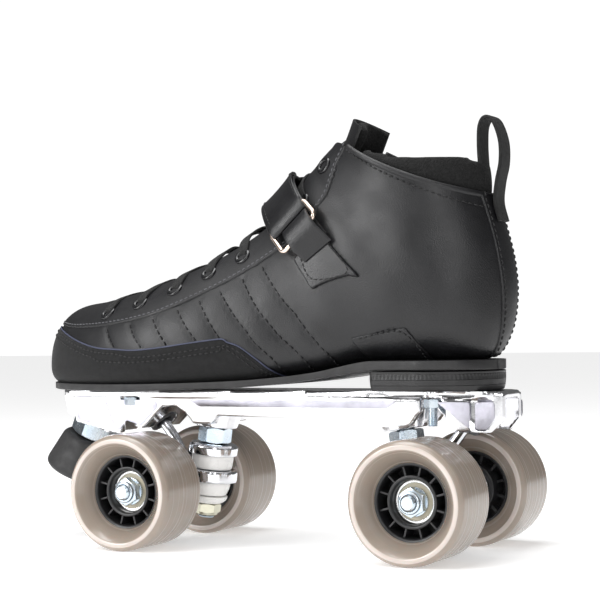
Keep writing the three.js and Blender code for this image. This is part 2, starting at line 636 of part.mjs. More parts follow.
function collarPadGeometry() {
  const layer = (depth) => (i, j) => {
    const angle = THREE.MathUtils.lerp(-COLLAR_PAD.frontAngle, COLLAR_PAD.frontAngle - 360, j);
    const wrapped = angle < -180 ? angle + 360 : angle;
    const back = THREE.MathUtils.smoothstep(Math.abs(wrapped), COLLAR_PAD.frontAngle, 150);
    const rise = 0.9 + i * THREE.MathUtils.lerp(COLLAR_PAD.frontRise, COLLAR_PAD.rearRise, back);
    const point = onBoot(COLLAR, wrapped, depth + 2.5 * i * i);
    return point.add(new THREE.Vector3(rise * collarEdge.y * 0.4, 0, rise * -collarEdge.x));
  };
  return shell(3, 22, layer(0.8), layer(0.8 + COLLAR_PAD.thickness));
}

// The pull loop is sewn on behind the heel, above the leather, and turns over to the collar's edge.
const PULL_LOOP_PATH = [[113.8, 170], [111.4, 180], [112.4, 190], [114.6, 200], [114.4, 211], [110.8, 221],
  [106.4, 223.2], [103.6, 219], [103.2, 211], [103.6, 205.5]];

function pullLoopGeometry() {
  const points = PULL_LOOP_PATH.map(([x, z]) => new THREE.Vector3(x, 0, z));
  const curve = new THREE.CatmullRomCurve3(points);
  const width = 13;
  const half = 0.9;
  const edge = (side) => (i, j) => {
    const point = curve.getPointAt(i);
    const tangent = curve.getTangentAt(i);
    return point.add(new THREE.Vector3(side * half * tangent.z, (j - 0.5) * width, -side * half * tangent.x));
  };
  return shell(20, 1, edge(1), edge(-1));
}

// The outsole follows the bottom line from the toe to the back of the heel.
function outsoleGeometry() {
  const bottomZ = (s) => Math.min(station(s)[3], 98.9) - GAP - 0.2;
  const layer = (drop) => (i, j) => {
    const s = THREE.MathUtils.lerp(0.6, 12.2, i);
    const side = j * 2 - 1;
    const [, , x, , half, middle] = station(s);
    const back = Math.max(0, (x - 78) / 33);
    const reach = x > 78 ? 34 * Math.sqrt(Math.max(0.06, 1 - back * back)) : half * 0.9;
    const fall = THREE.MathUtils.lerp(SOLE_FALL, HEEL_WELT, THREE.MathUtils.smoothstep(x, 25, 45));
    return new THREE.Vector3(x, middle + side * reach, bottomZ(s) - drop * fall);
  };
  return shell(26, 2, layer(0), layer(1));
}

function heelBlockGeometry() {
  const outline = (inset) => {
    const points = [[51.5 + inset, -33 + inset], [78, -33.5 + inset]];
    for (let k = 1; k < 12; k++) {
      const turn = -Math.PI / 2 + (k * Math.PI) / 12;
      points.push([78 + (33.5 - inset) * Math.cos(turn), (33.5 - inset) * Math.sin(turn)]);
    }
    return [...points, [78, 33.5 - inset], [51.5 + inset, 33 - inset]];
  };
  return surface(join(topBlock(outline(0), 87.5, 94.4), topBlock(outline(1.6), PLATE_TOP + GAP, 87.6)));
}

function footbedGeometry() {
  const layer = (depth) => (i, j) => {
    const s = THREE.MathUtils.lerp(3, 12, i);
    return onBoot(s, THREE.MathUtils.lerp(162, 198, j) - (j > 0.5 ? 360 : 0), LEATHER + 1, depth);
  };
  return shell(10, 4, layer(LEATHER + 1.6), layer(LEATHER + 4.2));
}

// The strap runs over the instep from the inner side to the ring. Its edges lean back as they go
// down, it lies over the laces, and its flap folds back from the ring over the strap.
const STRAP = { start: 8.55, lean: 0.0135, width: 1.48, sewnAngle: 100, ringAngle: -44, thickness: 1.8 };
const LACE_CLEARANCE = 5.4;

function strapLayer(fromAngle, toAngle, depth) {
  return (i, j) => {
    const angle = THREE.MathUtils.lerp(fromAngle, toAngle, i);
    const s = STRAP.start + STRAP.lean * Math.abs(angle) + STRAP.width * j;
    const sewn = THREE.MathUtils.smoothstep(angle, 45, 85);
    return onBoot(s, angle, -depth + sewn * (LACE_CLEARANCE - 0.6));
  };
}

function strapGeometry() {
  const layer = (depth) => strapLayer(STRAP.sewnAngle, STRAP.ringAngle, depth);
  return shell(16, 3, layer(LACE_CLEARANCE + STRAP.thickness), layer(LACE_CLEARANCE));
}

function strapFlapGeometry() {
  const low = LACE_CLEARANCE + STRAP.thickness + 0.5;
  const layer = (depth) => strapLayer(2, STRAP.ringAngle, depth);
  return shell(7, 3, layer(low + STRAP.thickness), layer(low));
}

const ANCHOR = [[9.54, -66.5], [10.62, -64.5], [10.98, -91], [9.69, -85]];

function strapAnchorGeometry() {
  const [a, b, c, d] = ANCHOR;
  const mix = (i, j, k) => THREE.MathUtils.lerp(THREE.MathUtils.lerp(a[k], b[k], j),
    THREE.MathUtils.lerp(d[k], c[k], j), i);
  const layer = (depth) => (i, j) => onBoot(mix(i, j, 0), mix(i, j, 1), -depth);
  return shell(5, 4, layer(2.4), layer(0.6));
}

const RING = { corners: [[9.2, -47.8], [10.66, -47.8], [10.95, -60], [9.45, -63]], wire: 1.3, depth: 6.3 };

function ringGeometry() {
  const corners = RING.corners.map(([s, angle]) => onBoot(s, angle, -RING.depth));
  const middle = corners.reduce((sum, corner) => sum.addScaledVector(corner, 0.25), new THREE.Vector3());
  const away = onBoot(10, -55, -RING.depth - 5).sub(middle).normalize();
  const [steps, sides] = [4, 6];
  const loop = [];
  corners.forEach((corner, k) => {
    const next = corners[(k + 1) % 4];
    for (let i = 0; i < steps; i++) loop.push(corner.clone().lerp(next, (i + 0.5) / steps));
  });
  const layer = (i, j) => {
    const centre = loop[Math.round(i * loop.length) % loop.length].clone();
    const outward = centre.clone().sub(middle).normalize();
    const turn = j * Math.PI * 2;
    centre.addScaledVector(outward, RING.wire * Math.cos(turn));
    return centre.addScaledVector(away, RING.wire * Math.sin(turn));
  };
  return tubeLoop(loop.length, sides, layer);
}

// Stations of the laced eyelets; the topmost pair, near the collar, is left empty.
const EYELET_ROWS = [4.79, 5.69, 6.54, 7.36, 8.24, 9.3, 10.4];

// One flat lace crosses from row to row, down one side and back up the other.
function lacesGeometry() {
  const [radius, low, high] = [1, -1.9, -4.1];
  const rows = EYELET_ROWS.length;
  const side = (k) => THREE.MathUtils.lerp(47, 41, k / (rows - 1));
  const points = [];
  const cross = (from, to, sign, middleDepth) => {
    const at = (part) => THREE.MathUtils.lerp(EYELET_ROWS[from], EYELET_ROWS[to], part);
    points.push(onBoot(at(0), sign * side(from), low));
    points.push(onBoot(at(0.25), (sign * side(from)) / 2, (low * 3 + middleDepth) / 4));
    points.push(onBoot(at(0.5), 0, middleDepth));
    points.push(onBoot(at(0.75), (-sign * side(from)) / 2, (low * 3 + middleDepth) / 4));
  };
  for (let k = rows - 1; k > 0; k--) cross(k, k - 1, k % 2 ? 1 : -1, low);
  points.push(onBoot(EYELET_ROWS[0], -side(0), low));
  points.push(onBoot(EYELET_ROWS[0] - 0.25, -side(0) / 2, low));
  points.push(onBoot(EYELET_ROWS[0] - 0.25, side(0) / 2, low));
  for (let k = 0; k < rows - 1; k++) cross(k, k + 1, k % 2 ? -1 : 1, high);
  const shape = new THREE.Shape(circle(radius, 4));
  const extrudePath = new THREE.CatmullRomCurve3(points);
  return new THREE.ExtrudeGeometry(shape, { steps: 90, bevelEnabled: false, extrudePath });
}

function boot() {
  const group = new THREE.Group();
  group.add(piece('upper', upperGeometry(), FINISH.leather()));
  group.add(piece('tongue', tongueGeometry(), FINISH.fabric()));
  group.add(piece('collar_pad', collarPadGeometry(), FINISH.fabric()));
  group.add(piece('pull_loop', pullLoopGeometry(), FINISH.webbing()));
  group.add(piece('outsole', outsoleGeometry(), FINISH.rubber()));
  group.add(piece('heel_block', heelBlockGeometry(), FINISH.rubber()));
  group.add(piece('footbed', footbedGeometry(), FINISH.fabric()));
  group.add(piece('strap', strapGeometry(), FINISH.leather()));
  group.add(piece('strap_flap', strapFlapGeometry(), FINISH.leather()));
  group.add(piece('strap_ring', ringGeometry(), FINISH.ring()));
  group.add(piece('strap_anchor', strapAnchorGeometry(), FINISH.leather()));
  group.add(piece('laces', lacesGeometry(), FINISH.webbing()));
  return group;
}

// ---- Assembly ----

const skate = new THREE.Group();
skate.position.x = BOX_CENTRE_SHIFT;
skate.add(piece('plate', plateGeometry(), FINISH.aluminium()));

for (const [end, turn] of [['front', Math.PI], ['rear', 0]]) {
  const half = new THREE.Group();
  half.rotation.z = turn;
  half.add(truck(end));
  skate.add(half);
  for (const [side, y] of [['outer', -1], ['inner', 1]]) {
    const placed = wheel(`${end}_${side}`);
    placed.position.set(end === 'front' ? -WHEELBASE / 2 : WHEELBASE / 2, (y * TRACK) / 2, WHEEL_RADIUS);
    if (y > 0) placed.rotation.z = Math.PI;
    skate.add(placed);
  }
}

for (const [x, end] of PLATE_BOLTS) {
  for (const [side, y] of [['outer', -1], ['inner', 1]]) {
    const bolt = piece(`plate_bolt_${end}_${side}`, plateBoltGeometry(), FINISH.zinc());
    bolt.position.set(x, y * PLATE_BOLT_Y, 0);
    skate.add(bolt);
  }
}

skate.add(toeStop());
skate.add(boot());

export default skate;
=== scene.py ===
import math

import bmesh
import bpy
import numpy as np
from mathutils import Matrix, Vector


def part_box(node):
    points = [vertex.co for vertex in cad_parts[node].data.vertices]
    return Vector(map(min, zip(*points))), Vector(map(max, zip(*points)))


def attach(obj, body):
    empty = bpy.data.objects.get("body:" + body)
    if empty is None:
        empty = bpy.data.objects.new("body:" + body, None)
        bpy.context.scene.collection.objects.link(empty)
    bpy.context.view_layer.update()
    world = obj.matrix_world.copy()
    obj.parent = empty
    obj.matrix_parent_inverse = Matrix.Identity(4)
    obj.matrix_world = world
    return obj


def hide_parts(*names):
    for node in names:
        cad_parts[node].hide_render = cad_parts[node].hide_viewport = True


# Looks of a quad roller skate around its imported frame. Shapes are worked out in millimetres from the
# middle of the wheelbase at ground level: the toe points along -X and the outer side of the foot is -Y.

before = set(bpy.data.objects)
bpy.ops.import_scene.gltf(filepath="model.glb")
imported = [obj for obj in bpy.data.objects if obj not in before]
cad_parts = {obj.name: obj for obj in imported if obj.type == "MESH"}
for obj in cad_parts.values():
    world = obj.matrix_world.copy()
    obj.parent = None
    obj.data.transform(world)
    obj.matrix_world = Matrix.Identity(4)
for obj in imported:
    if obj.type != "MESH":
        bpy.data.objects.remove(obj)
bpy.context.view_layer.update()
scene = bpy.context.scene
MM = 0.001


def middle(node):
    low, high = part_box(node)
    return (low + high) / 2


ORIGIN_X = (middle("front_axle").x + middle("rear_axle").x) / 2
HALF_WHEELBASE = (middle("rear_axle").x - middle("front_axle").x) / 2 / MM
AXLE_Z = middle("rear_axle").z / MM
HALF_TRACK = middle("rear_inner_tyre").y / MM
PLATE_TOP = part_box("plate")[1].z / MM


# ---------------------------------------------------------------- numbers and curves


def smooth(value, low, high):
    t = np.clip((np.asarray(value, float) - low) / (high - low), 0, 1)
    return t * t * (3 - 2 * t)


def unit(vector):
    vector = np.asarray(vector, float)
    return vector / np.maximum(np.linalg.norm(vector, axis=-1, keepdims=True), 1e-9)


def mix(a, b, t):
    return a + (b - a) * t


def spline(points, steps, closed=False):
    """A Catmull-Rom curve through the points, with so many steps between two of them."""
    points = np.asarray(points, float)
    count = len(points)
    spans = count if closed else count - 1
    out = []
    for i in range(spans):
        p1, p2 = points[i], points[(i + 1) % count]
        p0 = points[i - 1] if closed or i else 2 * p1 - p2
        p3 = points[(i + 2) % count] if closed or i + 2 < count else 2 * p2 - p1
        for t in np.arange(steps) / steps:
            out.append(p1 + 0.5 * t * (p2 - p0 + t * (2 * p0 - 5 * p1 + 4 * p2 - p3
                                                      + t * (3 * (p1 - p2) + p3 - p0))))
    if not closed:
        out.append(points[-1])
    return np.array(out)


def evenly(path, pitch):
    """Points of a path at even distances, at or just under the pitch."""
    path = np.asarray(path, float)
    lengths = np.linalg.norm(np.diff(path[:, :3], axis=0), axis=1)
    run = np.concatenate([[0], np.cumsum(lengths)])
    count = max(2, int(math.ceil(run[-1] / pitch)) + 1)
    where = np.linspace(0, run[-1], count)
    return np.stack([np.interp(where, run, path[:, k]) for k in range(path.shape[1])], axis=1)


def rounded(corners, closed=False, steps=4):
    """A 2-D outline whose corners (x, y, radius) are rounded off."""
    out = []
    count = len(corners)
    for i, corner in enumerate(corners):
        here = np.array(corner[:2], float)
        radius = corner[2] if len(corner) > 2 else 0
        if radius <= 0 or (not closed and i in (0, count - 1)):
            out.append(tuple(here))
            continue
        before = np.array(corners[i - 1][:2], float)
        after = np.array(corners[(i + 1) % count][:2], float)
        back, ahead = before - here, after - here
        reach = min(radius, 0.48 * np.linalg.norm(back), 0.48 * np.linalg.norm(ahead))
        start, end = here + unit(back) * reach, here + unit(ahead) * reach
        for k in range(steps + 1):
            t = k / steps
            out.append(tuple((1 - t) ** 2 * start + 2 * t * (1 - t) * here + t * t * end))
    return out


# ---------------------------------------------------------------- making pieces


def finish_mesh(mesh, sharp):
    bm = bmesh.new()
    bm.from_mesh(mesh)
    bmesh.ops.remove_doubles(bm, verts=bm.verts, dist=2e-6)
    bmesh.ops.dissolve_degenerate(bm, edges=bm.edges, dist=1e-7)
    loose = [v for v in bm.verts if not v.link_faces]
    bmesh.ops.delete(bm, geom=loose, context="VERTS")
    bmesh.ops.recalc_face_normals(bm, faces=bm.faces)
    bm.to_mesh(mesh)
    bm.free()
    mesh.shade_smooth()
    if sharp:
        mesh.set_sharp_from_angle(angle=math.radians(sharp))


def settle(obj, body, material, slot, replaces=()):
    """Gives a piece its material and its body, and hides the CAD nodes that it stands for; its slot is
    not used.
    """
    obj.data.materials.clear()
    obj.data.materials.append(material)
    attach(obj, body)
    if replaces:
        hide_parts(*replaces)
    return obj


def add(name, points, faces, body, material, slot, replaces=(), sharp=35, place=None):
    """A piece from points in millimetres. Without a place they are in the skate's own coordinates."""
    mesh = bpy.data.meshes.new(name)
    mesh.from_pydata((np.asarray(points, float) * MM).tolist(), [], faces)
    finish_mesh(mesh, sharp)
    obj = bpy.data.objects.new(name, mesh)
    scene.collection.objects.link(obj)
    obj.matrix_world = place if place is not None else Matrix.Translation((ORIGIN_X, 0, 0))
    return settle(obj, body, material, slot, replaces)


def at(x, y, z, turn=None):
    """A place in the frame, from millimetres, with a turn of the piece's own axes."""
    return Matrix.Translation((ORIGIN_X + x * MM, y * MM, z * MM)) @ (turn or Matrix.Identity(4))


def facing(direction):
    """The turn that brings a piece's own +Z onto a direction."""
    return Vector((0, 0, 1)).rotation_difference(Vector(direction)).to_matrix().to_4x4()


def joined(*shapes):
    points, faces, start = [], [], 0
    for shape_points, shape_faces in shapes:
        points.append(np.asarray(shape_points, float))
        faces += [tuple(start + k for k in face) for face in shape_faces]
        start += len(shape_points)
    return np.vstack(points), faces


def grid_faces(rows, columns, ring=False, loop=False):
    """Quads of a grid of points; ring closes its columns and loop closes its rows."""
    faces = []
    for i in range(rows if loop else rows - 1):
        for j in range(columns if ring else columns - 1):
            a, b = i * columns + j, i * columns + (j + 1) % columns
            c = ((i + 1) % rows) * columns
            faces.append((a, b, c + (j + 1) % columns, c + j))
    return faces


def turned(profile, segments, closed=False):
    """A profile of (radius, height) turned about Z."""
    profile = np.asarray(profile, float)
    angle = np.arange(segments) * 2 * math.pi / segments
    points = np.stack([np.outer(profile[:, 0], np.cos(angle)), np.outer(profile[:, 0], np.sin(angle)),
                       np.repeat(profile[:, 1:2], segments, 1)], -1).reshape(-1, 3)
    return points, grid_faces(len(profile), segments, ring=True, loop=closed)


def hexagon(flats, height, bore):
    """A hexagon nut standing on z = 0, with chamfered corners and a countersunk bore."""
    sides = 12
    angle = np.arange(6 * sides) * 2 * math.pi / (6 * sides)
    inside = np.abs((angle + math.pi / 6) % (math.pi / 3) - math.pi / 6)
    wall = flats / 2 / np.cos(inside)
    face = flats / 2 * 0.97
    drop = (wall - face) * math.tan(math.radians(28))
    rows = []
    for radius, z in ((bore + 0.7, 0), (face, 0), (wall, drop), (wall, height - drop), (face, height),
                      (bore + 0.7, height), (bore, height - 0.7), (bore, 0.7)):
        radius, z = np.broadcast_to(radius, angle.shape), np.broadcast_to(z, angle.shape)
        rows.append(np.stack([radius * np.cos(angle), radius * np.sin(angle), z], -1))
    points = np.array(rows).reshape(-1, 3)
    return points, grid_faces(len(rows), len(angle), ring=True, loop=True)


def threaded(radius, start, end, pitch=1.25, depth=0.55, tip=0.8):
    """The profile of a threaded rod, from one height to another, closed on the axis at the end."""
    rows = []
    count = int((end - tip - start) / pitch)
    for k in range(count):
        base = start + k * pitch
        rows += [(radius, base + 0.15 * pitch), (radius, base + 0.35 * pitch),
                 (radius - depth, base + 0.75 * pitch), (radius - depth, base + 0.9 * pitch)]
    return rows + [(radius, end - tip), (radius - tip, end), (0.01, end)]


def swept(path, normals, section, closed=False):
    """A section of (across, out) points swept along a path whose surface normals are given."""
    path, normals = np.asarray(path, float), unit(normals)
    ahead = np.roll(path, -1, 0) - np.roll(path, 1, 0)
    if not closed:
        ahead[0], ahead[-1] = path[1] - path[0], path[-1] - path[-2]
    ahead = unit(ahead)
    across = unit(np.cross(normals, ahead))
    out = np.cross(ahead, across)
    section = np.asarray(section, float)
    if section.ndim == 2:
        section = np.broadcast_to(section, (len(path), *section.shape))
    points = path[:, None] + across[:, None] * section[..., :1] + out[:, None] * section[..., 1:]
    rows, columns = points.shape[:2]
    faces = grid_faces(rows, columns, ring=True, loop=closed)
    if not closed:
        faces += [tuple(range(columns))[::-1], tuple((rows - 1) * columns + k for k in range(columns))]
    return points.reshape(-1, 3), faces


def flat_section(width, thickness, edge=0.4, steps=3):
    half, high = width / 2, thickness / 2
    corners = [(-half, -high, edge), (half, -high, edge), (half, high, edge), (-half, high, edge)]
    return np.array(rounded(corners, closed=True, steps=steps))


def round_section(radius, sides=12, flat=1.0):
    angle = np.arange(sides) * 2 * math.pi / sides
    return np.stack([radius * np.cos(angle), flat * radius * np.sin(angle)], -1)


# ---------------------------------------------------------------- the boot's surface

# Each station joins a point on the top line to one on the bottom line, and the sections fan round the
# ankle from the toe's tip to the collar. Columns: top x, top z, bottom x, bottom z, half width,
# middle y, height of the widest line (0 bottom to 1 top), squareness below it and above it.
STATIONS = np.array([
    [-159.4, 107, -159.8, 96, 7, 6, 0.5, 2, 2],
    [-157, 117, -158.2, 91, 16, 6, 0.42, 2.6, 2],
    [-150.5, 126, -153.5, 88, 25, 5, 0.36, 3.2, 2.1],
    [-140, 131, -144, 87.2, 33, 4, 0.33, 3.6, 2.2],
    [-122, 133.5, -126, 87, 39.5, 2.5, 0.32, 4, 2.2],
    [-100, 138.5, -104, 87, 44, 1, 0.31, 4, 2.2],
    [-75, 146, -78, 87.3, 46, 0, 0.3, 4, 2.1],
    [-52, 155.5, -48, 88, 45, 0, 0.3, 3.8, 2],
    [-32, 167, -14, 89.5, 41, 0, 0.3, 3.4, 1.95],
    [-14, 179.5, 20, 93, 37, 0, 0.34, 3.2, 1.95],
    [0, 192.5, 52, 98.9, 36, 0, 0.4, 3, 2],
    [6, 202, 82, 99, 36, 0, 0.45, 2.6, 2],
    [10, 207, 105, 100.5, 35.5, 0, 0.46, 2.3, 2],
    [13.5, 210.7, 114.6, 113, 35, 0, 0.47, 2.1, 2],
    [17, 213.4, 118.2, 131, 34, 0, 0.48, 2, 2],
    [20, 215.4, 117.2, 149, 33, 0, 0.5, 2, 2],
    [22.7, 217, 113, 167, 32.5, 0, 0.52, 2, 2],
    [25, 218, 108.6, 182.5, 32.5, 0, 0.54, 2, 2],
])
COLLAR = len(STATIONS) - 1
COLLAR_RISE = 12
TOPLINE_SAG = 4
LEATHER = 2.2  # the leather alone, without its lining
WALL = 4.5
EDGE = unit(STATIONS[COLLAR, :2] - STATIONS[COLLAR, 2:4])


def above_collar():
    row = STATIONS[COLLAR].copy()
    row[[0, 2]] += COLLAR_RISE * EDGE[1]
    row[[1, 3]] -= COLLAR_RISE * EDGE[0]
    return row


GUIDE = np.vstack([STATIONS, above_collar()])


def station(s):
    s = np.asarray(s, float)
    i = np.clip(np.floor(s).astype(int), 0, len(GUIDE) - 2)
    t = (s - i)[..., None]
    last = ((i == len(GUIDE) - 2) | (i == COLLAR - 1))[..., None]
    p0, p1, p2 = GUIDE[np.maximum(i - 1, 0)], GUIDE[i], GUIDE[i + 1]
    p3 = np.where(last, 2 * p2 - p1, GUIDE[np.minimum(i + 2, len(GUIDE) - 1)])
    return p1 + 0.5 * t * (p2 - p0 + t * (2 * p0 - 5 * p1 + 4 * p2 - p3 + t * (3 * (p1 - p2) + p3 - p0)))


def on_boot(s, angle, depth=0.0, sole_depth=None):
    """Points at stations, angles from the top (negative is the outer side) and depths under the
    leather's surface. Stations from -1 to 0 close the toe's tip."""
    s, angle, depth = np.broadcast_arrays(np.asarray(s, float), np.asarray(angle, float), depth)
    sole_depth = depth if sole_depth is None else sole_depth
    tip = np.clip(-s, 0, 1)
    guide = station(np.maximum(s, 0))
    top, bottom = guide[..., 0:2], guide[..., 2:4]
    along = unit(top - bottom)
    top = top - along * np.asarray(depth)[..., None]
    bottom = bottom + along * np.asarray(sole_depth)[..., None]
    turn = np.radians(angle)
    power = 2 / np.where(np.abs(angle) < 90, guide[..., 8], guide[..., 7])
    out = np.sign(np.sin(turn)) * np.abs(np.sin(turn)) ** power
    up = np.sign(np.cos(turn)) * np.abs(np.cos(turn)) ** power
    widest = guide[..., 6]
    height = widest + np.where(up > 0, 1 - widest, widest) * up
    shrink = np.cos(tip * math.pi / 2)
    height = 0.5 + (height - 0.5) * shrink
    flat = bottom + (top - bottom) * height[..., None]
    sag = TOPLINE_SAG * 4 * height * (1 - height) * smooth(s, COLLAR - 4, COLLAR)
    x = flat[..., 0] - sag * EDGE[1] - 0.8 * np.sin(tip * math.pi / 2)
    y = guide[..., 5] + (guide[..., 4] - depth) * out * shrink
    return np.stack([x, y, flat[..., 1] + sag * EDGE[0]], -1)


def slopes(s, angle):
    """How the surface's point moves with the station and with the angle."""
    ds, da = 0.02, 0.4
    by_s = (on_boot(s + ds, angle) - on_boot(s - ds, angle)) / (2 * ds)
    by_angle = (on_boot(s, angle + da) - on_boot(s, angle - da)) / (2 * da)
    return by_s, by_angle


def boot_normal(s, angle):
    s, angle = np.broadcast_arrays(np.asarray(s, float), np.asarray(angle, float))
    by_s, by_angle = slopes(s, angle)
    normal = np.cross(by_angle, by_s)
    flat = np.linalg.norm(normal, axis=-1) < 1e-6
    normal = np.where(flat[..., None], [-1.0, 0, 0], normal)
    inward = on_boot(s, angle, 6.0) - on_boot(s, angle)
    return unit(normal * -np.sign(np.sum(normal * inward, -1))[..., None])


def lifted(s, angle, lift):
    s, angle, lift = np.broadcast_arrays(np.asarray(s, float), np.asarray(angle, float), lift)
    return on_boot(s, angle) + boot_normal(s, angle) * np.asarray(lift)[..., None]


def sideways(path, distance):
    """Moves a path of (station, angle) across itself over the surface, in millimetres."""
    path = np.asarray(path, float)
    by_s, by_angle = slopes(path[:, 0], path[:, 1])
    points = on_boot(path[:, 0], path[:, 1])
    ahead = unit(np.gradient(points, axis=0))
    across = np.cross(boot_normal(path[:, 0], path[:, 1]), ahead) * distance
    moved = []
    for k in range(len(path)):
        basis = np.stack([by_s[k], by_angle[k]], 1)
        moved.append(path[k] + np.linalg.lstsq(basis, across[k], rcond=None)[0])
    return np.array(moved)


def on_path(path, pitch=1.0):
    """(station, angle) points at even distances over the surface along a curve through the path."""
    curve = spline(path, 12)
    full = np.hstack([on_boot(curve[:, 0], curve[:, 1]), curve])
    return evenly(full, pitch)[:, 3:]


def distance_to(points, path):
    """How far points are from a path of (station, angle), in millimetres."""
    line = on_boot(path[:, 0], path[:, 1])
    a, b = line[:-1], line[1:]
    span = b - a
    length = np.maximum((span ** 2).sum(1), 1e-9)
    flat = points.reshape(-1, 3)
    out = np.empty(len(flat))
    for k in range(0, len(flat), 1500):
        part = flat[k:k + 1500, None]
        t = np.clip(((part - a) * span).sum(2) / length, 0, 1)
        near = ((part - a - t[..., None] * span) ** 2).sum(2).min(1)
        out[k:k + 1500] = np.sqrt(near)
    return out.reshape(points.shape[:-1])


def cut(values, faces, column, level, keep_below=False):
    """Splits polygons where a column of their values crosses a level, and drops what is below it
    unless it is kept."""
    values = [tuple(v) for v in values]
    made, out = {}, []

    def crossing(a, b):
        key = (min(a, b), max(a, b))
        if key not in made:
            va, vb = np.array(values[key[0]]), np.array(values[key[1]])
            t = (level - va[column]) / (vb[column] - va[column])
            point = va + (vb - va) * t
            point[column] = level
            values.append(tuple(point))
            made[key] = len(values) - 1
        return made[key]

    for face in faces:
        sides = [values[k][column] - level for k in face]
        if min(sides) >= 0:
            out.append(face)
            continue
        if max(sides) <= 0:
            if keep_below:
                out.append(face)
            continue
        above, below = [], []
        for k, here in enumerate(face):
            after = face[(k + 1) % len(face)]
            side, next_side = sides[k], sides[(k + 1) % len(face)]
            if side >= 0:
                above.append(here)
            if side <= 0:
                below.append(here)
            if side * next_side < 0:
                point = crossing(here, after)
                above.append(point)
                below.append(point)
        if len(above) > 2:
            out.append(tuple(above))
        if keep_below and len(below) > 2:
            out.append(tuple(below))
    return np.array(values), out


def used_only(values, faces):
    used = sorted({k for face in faces for k in face})
    new = {k: i for i, k in enumerate(used)}
    return values[used], [tuple(new[k] for k in face) for face in faces]


def mesh_grid(s_range, angle_range, pitch_s, pitch_angle):
    s = np.linspace(*s_range, int(round((s_range[1] - s_range[0]) / pitch_s)) + 1)
    angle = np.linspace(*angle_range, int(round(abs(angle_range[1] - angle_range[0]) / pitch_angle)) + 1)
    s, angle = np.meshgrid(s, angle, indexing="ij")
    return s, angle, grid_faces(*s.shape)


THROAT = np.array([[-119, 7], [-112, 15], [-95, 20.5], [-40, 20.5], [20, 15], [70, 15]])
THROAT_START = -119


CORNER_CUT, CORNER_REACH = 6, 1.4  # rounding at the collar: millimetres, stations
FAR_OUTSIDE = 50.0


def throat_gap(s, angle, points):
    """How far points are outside the throat, seen from above; the front end is rounded."""
    half = np.interp(points[..., 0], THROAT[:, 0], THROAT[:, 1])
    gap = np.abs(points[..., 1]) - half
    ahead = THROAT_START - 3 - points[..., 0] + 0.05 * points[..., 1] ** 2
    gap = np.maximum(gap, ahead)
    gap = gap - CORNER_CUT * np.clip((s - COLLAR + CORNER_REACH) / CORNER_REACH, 0, 1) ** 2.5
    return np.where(np.abs(angle) > 95, FAR_OUTSIDE, gap)


def overlay(name, window, pitch, inside, lift, material, slot, roll=0.9, replaces=(), base=-0.25):
    """A layer of leather on the boot, where inside(s, angle, points) is over zero millimetres. Its edge
    is rolled over down to the layer below."""
    s, angle, faces = mesh_grid(window[0], window[1], *pitch)
    points = on_boot(s, angle)
    field = inside(s, angle, points)
    values = np.stack([s, angle, field], -1).reshape(-1, 3)
    values, faces = cut(values, faces, 2, 0.0)
    for level in (0.3 * roll, roll):
        values, faces = cut(values, faces, 2, level, keep_below=True)
    values, faces = used_only(values, faces)
    s, angle, field = values.T
    t = 1 - np.clip(field / roll, 0, 1)
    height = base + (lift - base) * np.sqrt(np.maximum(0, 1 - t ** 2.4))
    return add(name, lifted(s, angle, height), faces, "chassis", material, slot, replaces, sharp=60)


def stitches(name, paths, lift, material, length=2.3, gap=1.2, radius=0.34, slot="leather",
             body="chassis", surface=lifted):
    """Rows of thread, each stitch rising out of the leather and diving back into it."""
    rings, sides = (-1, -0.72, -0.3, 0.3, 0.72, 1), 6
    heights = (-0.5, 0.55, 1.0, 1.0, 0.55, -0.5)
    section = round_section(1, sides)
    shapes = []
    for path in paths:
        run = on_path(path, (length + gap) / 4) if surface is lifted else path
        points = surface(run[:, 0], run[:, 1], lift)
        normal = boot_normal(run[:, 0], run[:, 1])
        full = evenly(np.hstack([points, normal]), length + gap)
        for k in range(len(full) - 1):
            ahead = full[k + 1, :3] - full[k, :3]
            reach = np.linalg.norm(ahead)
            if reach < 0.5 * (length + gap):
                continue
            ahead = ahead / reach
            up = unit(full[k, 3:] + full[k + 1, 3:])
            side = unit(np.cross(up, ahead))
            centre = (full[k, :3] + full[k + 1, :3]) / 2
            rows = []
            for t, height in zip(rings, heights):
                thick = radius * (0.55 if abs(t) == 1 else 1)
                spine = centre + ahead * t * length / 2 + up * radius * 0.55 * height
                rows.append(spine + side * section[:, :1] * thick + up * section[:, 1:] * thick)
            faces = grid_faces(len(rings), sides, ring=True)
            last = (len(rings) - 1) * sides
            faces += [tuple(range(sides))[::-1], tuple(last + j for j in range(sides))]
            shapes.append((np.array(rows).reshape(-1, 3), faces))
    points, faces = joined(*shapes)
    return add(name, points, faces, body, material, slot, sharp=None)


def both_sides(paths):
    """Paths on the outer side and the same ones mirrored to the inner side."""
    paths = [np.asarray(path, float) for path in paths]
    return paths + [path * [1, -1] for path in paths]


# ---------------------------------------------------------------- materials


